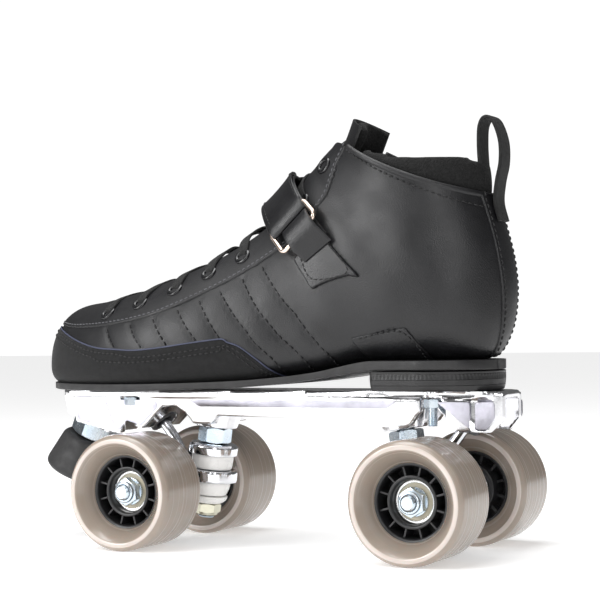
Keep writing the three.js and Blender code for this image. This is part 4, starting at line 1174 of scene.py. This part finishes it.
build_upper()
build_overlays()
build_stitches()
build_piping()
build_topline()


# ---------------------------------------------------------------- padding

MOST_SWELL = 6  # how far padding may swell, in millimetres


def closed_shell(outer_points, inner_points):
    """A closed solid between two grids of points."""
    rows, columns = outer_points.shape[:2]
    count = rows * columns
    points = np.concatenate([outer_points.reshape(-1, 3), inner_points.reshape(-1, 3)])
    faces = grid_faces(rows, columns)
    faces += [tuple(count + k for k in face)[::-1] for face in grid_faces(rows, columns)]
    rim = [j for j in range(columns)] + [i * columns + columns - 1 for i in range(1, rows)]
    rim += [(rows - 1) * columns + j for j in range(columns - 2, -1, -1)]
    rim += [i * columns for i in range(rows - 2, 0, -1)]
    for k, a in enumerate(rim):
        b = rim[(k + 1) % len(rim)]
        faces.append((b, a, count + a, count + b))
    return points, faces


def swollen(name, points, faces, body, material, slot, replaces, voxel=3.5, pressure=3.0):
    """Padding: a slightly small form that is remeshed, blown up as cloth and smoothed."""
    obj = add(name, points, faces, body, material, slot, replaces, None)
    remesh = obj.modifiers.new("remesh", "REMESH")
    remesh.mode = "VOXEL"
    remesh.voxel_size = voxel * MM
    start = applied(obj)
    rest = np.array([v.co for v in start.vertices])
    cloth = obj.modifiers.new("cloth", "CLOTH")
    cloth.settings.use_pressure = True
    cloth.settings.uniform_pressure_force = pressure
    cloth.settings.tension_stiffness = 25
    cloth.settings.compression_stiffness = 25
    cloth.settings.effector_weights.gravity = 0
    for number in range(1, 16):
        scene.frame_set(number)
    moved = applied(obj)
    now = np.array([v.co for v in moved.vertices])
    shift = now - rest
    length = np.maximum(np.linalg.norm(shift, axis=1, keepdims=True), 1e-9)
    now = rest + shift * np.minimum(1, MOST_SWELL * MM / length)
    moved.vertices.foreach_set("co", now.ravel())
    scene.frame_set(1)
    soften = obj.modifiers.new("soften", "SMOOTH")
    soften.iterations = 4
    finer = obj.modifiers.new("finer", "SUBSURF")
    finer.levels = finer.render_levels = 1
    mesh = applied(obj)
    mesh.shade_smooth()
    return obj


def applied(obj):
    """Turns the piece's modifiers into its mesh."""
    graph = bpy.context.evaluated_depsgraph_get()
    mesh = bpy.data.meshes.new_from_object(obj.evaluated_get(graph))
    obj.modifiers.clear()
    obj.data = mesh
    return mesh


def collar_point(angle, rise_part, depth):
    """On the padded collar: how far round, how far up (0 to 1) and how deep inside the leather."""
    wrapped = np.where(angle < -180, angle + 360, angle)
    back = smooth(np.abs(wrapped), 62, 150)
    rise = -3 + rise_part * mix(8.0, 20.5, back)
    points = on_boot(COLLAR, wrapped, depth + 2.5 * np.maximum(rise_part, 0) ** 2)
    return points + np.stack([rise * EDGE[1] * 0.4, 0 * rise, rise * -EDGE[0]], -1)


def build_collar_pad():
    part, angle = np.meshgrid(np.linspace(0, 1, 9), np.linspace(-60, -300, 90), indexing="ij")
    outer_side = collar_point(angle, part, 2.3 + 1.5 * part ** 2)
    inner_side = collar_point(angle, part, 8.2 - 0.8 * part)
    points, faces = closed_shell(outer_side, inner_side)
    swollen("collar_padding", points, faces, "chassis", KNIT, "fabric", ["collar_pad"], 2.6, 2.5)


def build_tongue():
    s, part = np.meshgrid(np.linspace(4.7, COLLAR + 0.97, 70), np.linspace(-1, 1, 29), indexing="ij")
    half = 36 + 6 * smooth(s, 4.6, 18)
    full = np.linspace(0, 1, 70)[:, None]
    crown = 2.2 * (1 - part ** 2)
    skin_out = on_boot(s, part * half, 4.9 - crown)
    skin_in = on_boot(s, part * half, 6.2 - crown)
    points, faces = closed_shell(skin_out, skin_in)
    add("tongue_leather", points, faces, "chassis", LEATHER_SKIN, "leather", ["tongue"], 60)
    thick = mix(2.4, 4.6, smooth(full, 0.6, 1.0))
    pad_out = on_boot(s, part * half * 0.96, 6.9 - crown * 0.9)
    pad_in = on_boot(s, part * half * 0.9, 6.9 + thick)
    points, faces = closed_shell(pad_out, pad_in)
    swollen("tongue_padding", points, faces, "chassis", KNIT, "fabric", [], 2.2, 2.0)


build_collar_pad()
build_tongue()


# ---------------------------------------------------------------- laces and eyelets

EYELET_ROWS = [4.79, 5.69, 6.54, 7.36, 8.24, 9.3, 10.4, 12.94]
EYELET_ANGLES = [49.5, 48, 45, 42, 42.5, 42, 41, 34]
LACE_WIDTH, LACE_THICKNESS = 6.4, 1.3


def build_eyelets():
    profile = rounded([(2.3, -1.2, 0.2), (2.3, 0.5, 0.5), (3.4, 1.2, 0.8), (4.7, 0.7, 0.7), (4.8, -0.3)],
                      steps=4)
    points, faces = turned(profile, 40)
    shapes = []
    for s, angle in zip(EYELET_ROWS, EYELET_ANGLES):
        for side in (-1, 1):
            centre = lifted(s, side * angle, 1.0)
            turn = np.array(facing(boot_normal(s, side * angle)).to_3x3())
            shapes.append((points @ turn.T + centre, faces))
    points, faces = joined(*shapes)
    add("eyelets", points, faces, "chassis", EYELET, "chrome", sharp=None)


def lace_route(row, side):
    """Straight across the throat, from inside one eyelet to inside the other."""
    s, edge = EYELET_ROWS[row], EYELET_ANGLES[row]
    lean = 0.06 * side
    half = [(s, edge - 0.3, -1.2), (s + 0.01, edge - 2.5, 1.3), (s + 0.02, edge - 9, 1.8),
            (s + 0.03 + lean, edge * 0.6, 1.2), (s + 0.05 + lean, edge * 0.3, 0.6)]
    return [(a, -b, c) for a, b, c in half] + [(s + 0.06, 0, 0.4)] + half[::-1]


def under_route(row):
    """Under the leather's edge, from one row to the next on the other side."""
    low, high = EYELET_ROWS[row], EYELET_ROWS[row + 1]
    side = -1 if row % 2 else 1
    return [(mix(low, high, part), side * angle, lift) for part, angle, lift in
            ((0.05, 26, -2.6), (0.3, 12, -2.0), (0.5, 0, -1.8), (0.7, -12, -2.0), (0.95, -26, -2.6))]


def build_laces():
    shapes = []
    section = flat_section(LACE_WIDTH, LACE_THICKNESS, 0.5, 2)
    laced = len(EYELET_ROWS) - 1
    routes = [lace_route(row, 1 if row % 2 else -1) for row in range(laced)]
    routes += [under_route(row) for row in range(laced - 1)]
    for route in routes:
        s, angle, lift = spline(route, 8).T
        normals = boot_normal(s, angle)
        path = on_boot(s, angle) + normals * lift[:, None]
        shapes.append(swept(path, normals, section))
    points, faces = joined(*shapes)
    add("lace_crossings", points, faces, "chassis", LACE, "webbing", ["laces"], 50)


build_eyelets()
build_laces()


# ---------------------------------------------------------------- strap, ring and patches

STRAP_START, STRAP_LEAN, STRAP_WIDTH = 8.55, 0.0135, 1.48
SEWN_ANGLE, RING_ANGLE = 100, -44
LACE_CLEARANCE = 5.4


def strap_point(angle, part, height):
    s = STRAP_START + STRAP_LEAN * np.abs(angle) + STRAP_WIDTH * part
    sewn = smooth(angle, 45, 85)
    return on_boot(s, angle, -height + sewn * (LACE_CLEARANCE - 0.6))


def band(angles, low, high, corner=0.0, end_round=0.0):
    """A band of the strap between two heights, with its edges rolled."""
    parts = np.array([0, 0.004, 0.02, 0.05, 0.12, 0.3, 0.5, 0.7, 0.88, 0.95, 0.98, 0.996, 1])
    roll = 1 - (1 - np.clip(np.minimum(parts, 1 - parts) / 0.05, 0, 1)) ** 2
    angle, part = np.meshgrid(angles, parts, indexing="ij")
    reach = np.clip((angle - angles[-1]) / max(end_round, 0.01) * np.sign(angles[0] - angles[-1]), 0, 1)
    inset = corner * (1 - np.sqrt(np.maximum(0, 1 - (1 - reach) ** 2))) if end_round else 0 * angle
    part = mix(inset, 1 - inset, part)
    middle_height = (low + high) / 2
    swell = np.sqrt(roll)[None]
    outer_side = strap_point(angle, part, middle_height + (high - middle_height) * swell)
    inner_side = strap_point(angle, part, middle_height + (low - middle_height) * swell)
    return closed_shell(outer_side, inner_side)


def build_strap():
    angles = np.linspace(SEWN_ANGLE, RING_ANGLE - 4, 90)
    points, faces = band(angles, LACE_CLEARANCE, LACE_CLEARANCE + 1.8)
    add("strap_leather", points, faces, "chassis", STRAP_SKIN, "leather", ["strap"], 60)
    low = LACE_CLEARANCE + 2.3
    angles = np.linspace(RING_ANGLE - 4, 2, 50)
    points, faces = band(angles, low, low + 1.9, 0.18, 9)
    add("strap_flap_leather", points, faces, "strap_flap", STRAP_SKIN, "leather", ["strap_flap"], 60)
    height = low + 1.95

    def over_flap(s, angle, lift):
        return strap_point(angle, (s - STRAP_START - STRAP_LEAN * np.abs(angle)) / STRAP_WIDTH, lift)

    rows = []
    for part in (0.09, 0.91):
        angle = np.linspace(RING_ANGLE - 2, -4, 60)
        rows.append(np.stack([STRAP_START + STRAP_LEAN * np.abs(angle) + STRAP_WIDTH * part, angle], 1))
    stitches("stitches_flap", rows, height, BLACK_THREAD, 2.1, 1.0, 0.28, body="strap_flap",
             surface=over_flap)


RING_CORNERS = [[9.2, -47.8], [10.66, -47.8], [10.95, -60], [9.45, -63]]
ANCHOR = [(9.54, -66.5), (10.62, -64.5), (10.98, -91), (9.69, -85)]


def build_ring():
    corners = np.array([on_boot(s, angle, -6.3) for s, angle in RING_CORNERS])
    loop = []
    for k in range(4):
        here, before, after = corners[k], corners[k - 1], corners[(k + 1) % 4]
        start, end = here + unit(before - here) * 3.2, here + unit(after - here) * 3.2
        for t in np.linspace(0, 1, 9):
            loop.append((1 - t) ** 2 * start + 2 * t * (1 - t) * here + t * t * end)
    loop = evenly(np.array(loop + loop[:1]), 1.0)[:-1]
    flat = np.cross(corners[1] - corners[0], corners[3] - corners[0])
    normals = np.broadcast_to(flat, loop.shape)
    points, faces = swept(loop, normals, round_section(1.35, 16), closed=True)
    add("strap_ring_steel", points, faces, "chassis", RING_STEEL, "ring", ["strap_ring"], None)


def build_anchor():
    overlay("anchor_patch", ((9.2, 11.2), (-96, -58)), (0.025, 0.6), inside_shape(ANCHOR), 2.0,
            STRAP_SKIN, "leather", 1.0, ["strap_anchor"])
    rows = [[(9.74, -69), (10.56, -67.5), (10.82, -88), (9.84, -82.5), (9.74, -69)],
            [(9.78, -72), (10.64, -71)]]
    stitches("stitches_anchor", rows, 2.05, BLACK_THREAD, 2.0, 1.0, 0.28)

    # The folded end goes round the ring's lower bar.
    def place(angle, part):
        lean = 0.012 * (-57 - angle)
        return mix(9.62 + lean, 10.72 + lean, part)

    fold("anchor_fold", [(-71, 2.0), (-67, 5.2), (-63.5, 8.0), (-59.5, 8.9), (-56.6, 7.4), (-56.4, 5.2),
                         (-58.6, 3.7), (-63, 2.8), (-68, 1.4)], place)


def fold(name, turns, place, thickness=1.4):
    """Leather bent round a bar: turns are (angle, height) points, and place gives the station."""
    line = spline(turns, 6)
    flat = line * [0.62, 1]  # a degree is about 0.62 mm here
    ahead = unit(np.gradient(flat, axis=0))
    inner = line + np.stack([ahead[:, 1] / 0.62, -ahead[:, 0]], 1) * thickness * -1
    part = np.linspace(0, 1, 26)
    sides = []
    for edge in (line, inner):
        angle, across = np.meshgrid(edge[:, 0], part, indexing="ij")
        height = np.repeat(edge[:, 1:], len(part), 1)
        ease = 0.35 * (np.clip(np.abs(across - 0.5) * 2, 0.9, 1) - 0.9) / 0.1
        sides.append(on_boot(place(angle, across), angle, -(height - ease)))
    points, faces = closed_shell(*sides)
    add(name, points, faces, "chassis", STRAP_SKIN, "leather", sharp=60)


def build_strap_fold():
    """The strap turns back on itself round the ring's upper bar."""
    def place(angle, part):
        return STRAP_START + STRAP_LEAN * np.abs(angle) + STRAP_WIDTH * mix(0.02, 0.98, part)

    fold("strap_fold", [(-38, 9.55), (-44, 9.75), (-49, 9.5), (-52.2, 8.2), (-53, 6.6), (-51.6, 5.2),
                        (-48, 4.6), (-42, 4.9)], place)


build_strap()
build_ring()
build_anchor()
build_strap_fold()


# ---------------------------------------------------------------- pull loop, sole and heel

PULL_LOOP = [[113.8, 170], [111.4, 180], [112.4, 190], [114.6, 200], [114.4, 211], [110.8, 221],
             [106.4, 223.2], [103.6, 219], [103.0, 210], [103.4, 200], [104.4, 188]]
HEEL_START, HEEL_MIDDLE, HEEL_RADIUS = 51.5, 78, 33.5
HEEL_TOP, HEEL_BOTTOM = 94.4, 84.3


def build_pull_loop():
    path = evenly(spline([(x, 0, z) for x, z in PULL_LOOP], 8), 1.2)
    ahead = unit(np.gradient(path, axis=0))
    normals = np.stack([ahead[:, 2], np.zeros(len(path)), -ahead[:, 0]], -1)
    points, faces = swept(path, normals, flat_section(13, 1.9, 0.8, 3))
    add("pull_loop_tape", points, faces, "chassis", TAPE, "webbing", ["pull_loop"], 60)


def sole_outline(x):
    """Half width and height of the outsole's upper face at x, and its thickness."""
    s = np.interp(x, STATIONS[:13, 2], np.arange(13))
    guide = station(s)
    back = np.maximum(0, (x - HEEL_MIDDLE) / HEEL_RADIUS)
    half = np.where(x > HEEL_MIDDLE, (HEEL_RADIUS + 0.6) * np.sqrt(np.maximum(0.02, 1 - back ** 2)),
                    guide[..., 4] * 0.93)
    drop = mix(2.4, 3.6, smooth(x, 25, 45))
    return half, np.minimum(guide[..., 3], 98.9) - 0.4, drop, guide[..., 5]


def build_outsole():
    front = STATIONS[0, 2] + 0.6
    ease = (1 - np.cos(np.linspace(0, math.pi, 150))) / 2
    x = mix(front, HEEL_MIDDLE + HEEL_RADIUS, ease)
    half, top, drop, middle_y = sole_outline(x)
    nose = np.sqrt(np.clip((x - front) / 9, 0.004, 1))
    half = half * np.minimum(1, nose + 0.02)
    ring = rounded([(-1, 1, 0.05), (-1, 0.1, 0.06), (-0.965, 0, 0.03),
                    (0.965, 0, 0.03), (1, 0.1, 0.06), (1, 1, 0.05)], closed=True, steps=3)
    rows = []
    for k in range(len(x)):
        rows.append([(x[k], middle_y[k] + half[k] * across, top[k] + 1.4 - (drop[k] + 1.4) * (1 - up))
                     for across, up in ring])
    points = np.array(rows).reshape(-1, 3)
    columns = len(ring)
    faces = grid_faces(len(x), columns, ring=True)
    faces += [tuple(range(columns)), tuple((len(x) - 1) * columns + k for k in range(columns))[::-1]]
    add("outsole_rubber", points, faces, "chassis", SOLE, "rubber", ["outsole"], 40)


def heel_outline(inset, count=110):
    """Points round the heel block, evenly spaced from the front outer corner round the back."""
    radius = HEEL_RADIUS - inset
    turn = np.linspace(-math.pi / 2, math.pi / 2, 60)
    arc = np.stack([HEEL_MIDDLE + radius * np.cos(turn), radius * np.sin(turn)], 1)
    start = HEEL_START + inset
    front = rounded([(HEEL_MIDDLE, HEEL_RADIUS - inset), (start, 33 - inset, 3), (start, inset - 33, 3),
                     (HEEL_MIDDLE, inset - HEEL_RADIUS)], steps=6)
    outline = np.vstack([arc, front[1:-1], arc[:1]])
    return evenly(np.hstack([outline, np.zeros((len(outline), 1))]), 240 / count)[:count, :2]


def build_heel():
    """Fine grooves and a knurled band run round the block."""
    levels = [(HEEL_TOP, 0.4), (HEEL_TOP - 0.3, 0), (93.4, 0), (93.2, 0.15), (93, 0), (92, 0), (91.6, 0),
              (90.3, 0), (90.15, 0.16), (90, 0), (87.4, 0.25), (87.25, 0.42), (87.1, 0.28), (85.4, 0.7),
              (84.7, 1), (HEEL_BOTTOM, 1.7)]  # height and how far inside the outline
    count = 420
    rows = []
    base = heel_outline(0)
    spaced = evenly(np.vstack([np.hstack([base, np.zeros((len(base), 1))]), [[*base[0], 0]]]), 0.5)
    closed = spaced[:-1, :2]
    index = np.linspace(0, len(closed), count, endpoint=False)
    closed = np.stack([np.interp(index, np.arange(len(closed)), closed[:, k]) for k in (0, 1)], 1)
    ahead = unit(np.roll(closed, -1, 0) - np.roll(closed, 1, 0))
    inward = np.stack([-ahead[:, 1], ahead[:, 0]], 1)
    for z, inset in levels:
        knurl = 0.22 * (np.arange(count) % 4 < 2) if 92.0 >= z >= 91.5 else 0
        shift = (np.zeros(count) + inset + knurl)[:, None]
        rows.append(np.hstack([closed + inward * shift, np.full((count, 1), z)]))
    points = np.array(rows).reshape(-1, 3)
    faces = grid_faces(len(levels), count, ring=True)
    faces += [tuple(range(count)), tuple((len(levels) - 1) * count + k for k in range(count))[::-1]]
    add("heel_block_rubber", points, faces, "chassis", HEEL, "rubber", ["heel_block"], 40)


def build_footbed():
    s, angle = np.meshgrid(np.linspace(3, 12, 60), np.linspace(162, 198, 25), indexing="ij")
    wrapped = np.where(angle > 180, angle - 360, angle)
    upper_side = on_boot(s, wrapped, WALL + 1, WALL + 4.2)
    lower_side = on_boot(s, wrapped, WALL + 1, WALL + 1.6)
    points, faces = closed_shell(upper_side, lower_side)
    add("insole", points, faces, "chassis", LINING, "fabric", ["footbed"], 50)


build_pull_loop()
build_outsole()
build_heel()
build_footbed()


# ---------------------------------------------------------------- floor, light and camera


def plain(name, colour, rough):
    n = Nodes(name)
    return n.set(Base_Color=(*colour, 1), Roughness=rough)


def build_stage():
    size = 6.0
    mesh = bpy.data.meshes.new("floor")
    corners = [(-size, -size, 0), (size, -size, 0), (size, size, 0), (-size, size, 0)]
    mesh.from_pydata(corners, [], [(0, 1, 2, 3)])
    floor = bpy.data.objects.new("floor", mesh)
    scene.collection.objects.link(floor)
    # A little light of its own keeps the floor near white out to the horizon.
    white = plain("floor_white", (0.93, 0.93, 0.93), 0.6)
    surface = white.node_tree.nodes["Principled BSDF"].inputs
    surface["Emission Color"].default_value = (1, 1, 1, 1)
    surface["Emission Strength"].default_value = 0.4
    mesh.materials.append(white)


def area_light(name, place, target, size, power):
    light = bpy.data.lights.new(name, "AREA")
    light.shape = "RECTANGLE"
    light.size, light.size_y = size
    light.energy = power
    obj = bpy.data.objects.new(name, light)
    scene.collection.objects.link(obj)
    obj.location = place
    aim = Vector(target) - Vector(place)
    obj.rotation_euler = aim.to_track_quat("-Z", "Y").to_euler()


LIT_STRENGTH, SEEN_STRENGTH = 0.13, 1.05  # of the world: as a light, and as the backdrop


def build_lights():
    world = bpy.data.worlds.new("studio")
    scene.world = world
    world.use_nodes = True
    background = world.node_tree.nodes["Background"]
    background.inputs["Color"].default_value = (1, 1, 1, 1)
    seen = world.node_tree.nodes.new("ShaderNodeLightPath").outputs["Is Camera Ray"]
    strength = world.node_tree.nodes.new("ShaderNodeMapRange")
    strength.inputs["To Min"].default_value = LIT_STRENGTH
    strength.inputs["To Max"].default_value = SEEN_STRENGTH
    world.node_tree.links.new(seen, strength.inputs["Value"])
    world.node_tree.links.new(strength.outputs["Result"], background.inputs["Strength"])
    sun = bpy.data.objects.new("soft_sun", bpy.data.lights.new("soft_sun", "SUN"))
    sun.data.energy = 1.5
    sun.data.angle = math.radians(55)
    sun.rotation_euler = Vector((0.25, 0.45, -1)).to_track_quat("-Z", "Y").to_euler()
    scene.collection.objects.link(sun)
    area_light("left_front", (-0.75, -1.1, 0.55), (0, 0, 0.12), (0.5, 0.8), 13)
    area_light("right_front", (0.9, -1.2, 0.75), (0.05, 0, 0.12), (0.3, 0.9), 7)
    area_light("overhead", (-0.1, 0.1, 1.1), (0, 0, 0.1), (0.9, 0.5), 7)


CAMERA_PLACE = (0.42094 + ORIGIN_X, -0.81215, 0.11707)
CAMERA_ANGLES = (27.61, -0.95, -0.82)  # azimuth, elevation and roll in degrees
CAMERA_LENS = 101.75


def build_camera():
    azimuth, elevation, roll = (math.radians(value) for value in CAMERA_ANGLES)
    back = Vector((math.sin(azimuth) * math.cos(elevation), -math.cos(azimuth) * math.cos(elevation),
                   math.sin(elevation)))
    right = (-back).cross(Vector((0, 0, 1))).normalized()
    up = right.cross(-back)
    turned_right = math.cos(roll) * right + math.sin(roll) * up
    turned_up = -math.sin(roll) * right + math.cos(roll) * up
    camera = bpy.data.cameras.new("camera")
    camera.lens = CAMERA_LENS
    camera.sensor_width = 36
    camera.clip_end = 50
    obj = bpy.data.objects.new("camera", camera)
    scene.collection.objects.link(obj)
    matrix = Matrix((turned_right, turned_up, back)).transposed().to_4x4()
    matrix.translation = CAMERA_PLACE
    obj.matrix_world = matrix
    scene.camera = obj


build_stage()
build_lights()
build_camera()
scene.view_settings.view_transform = "Standard"
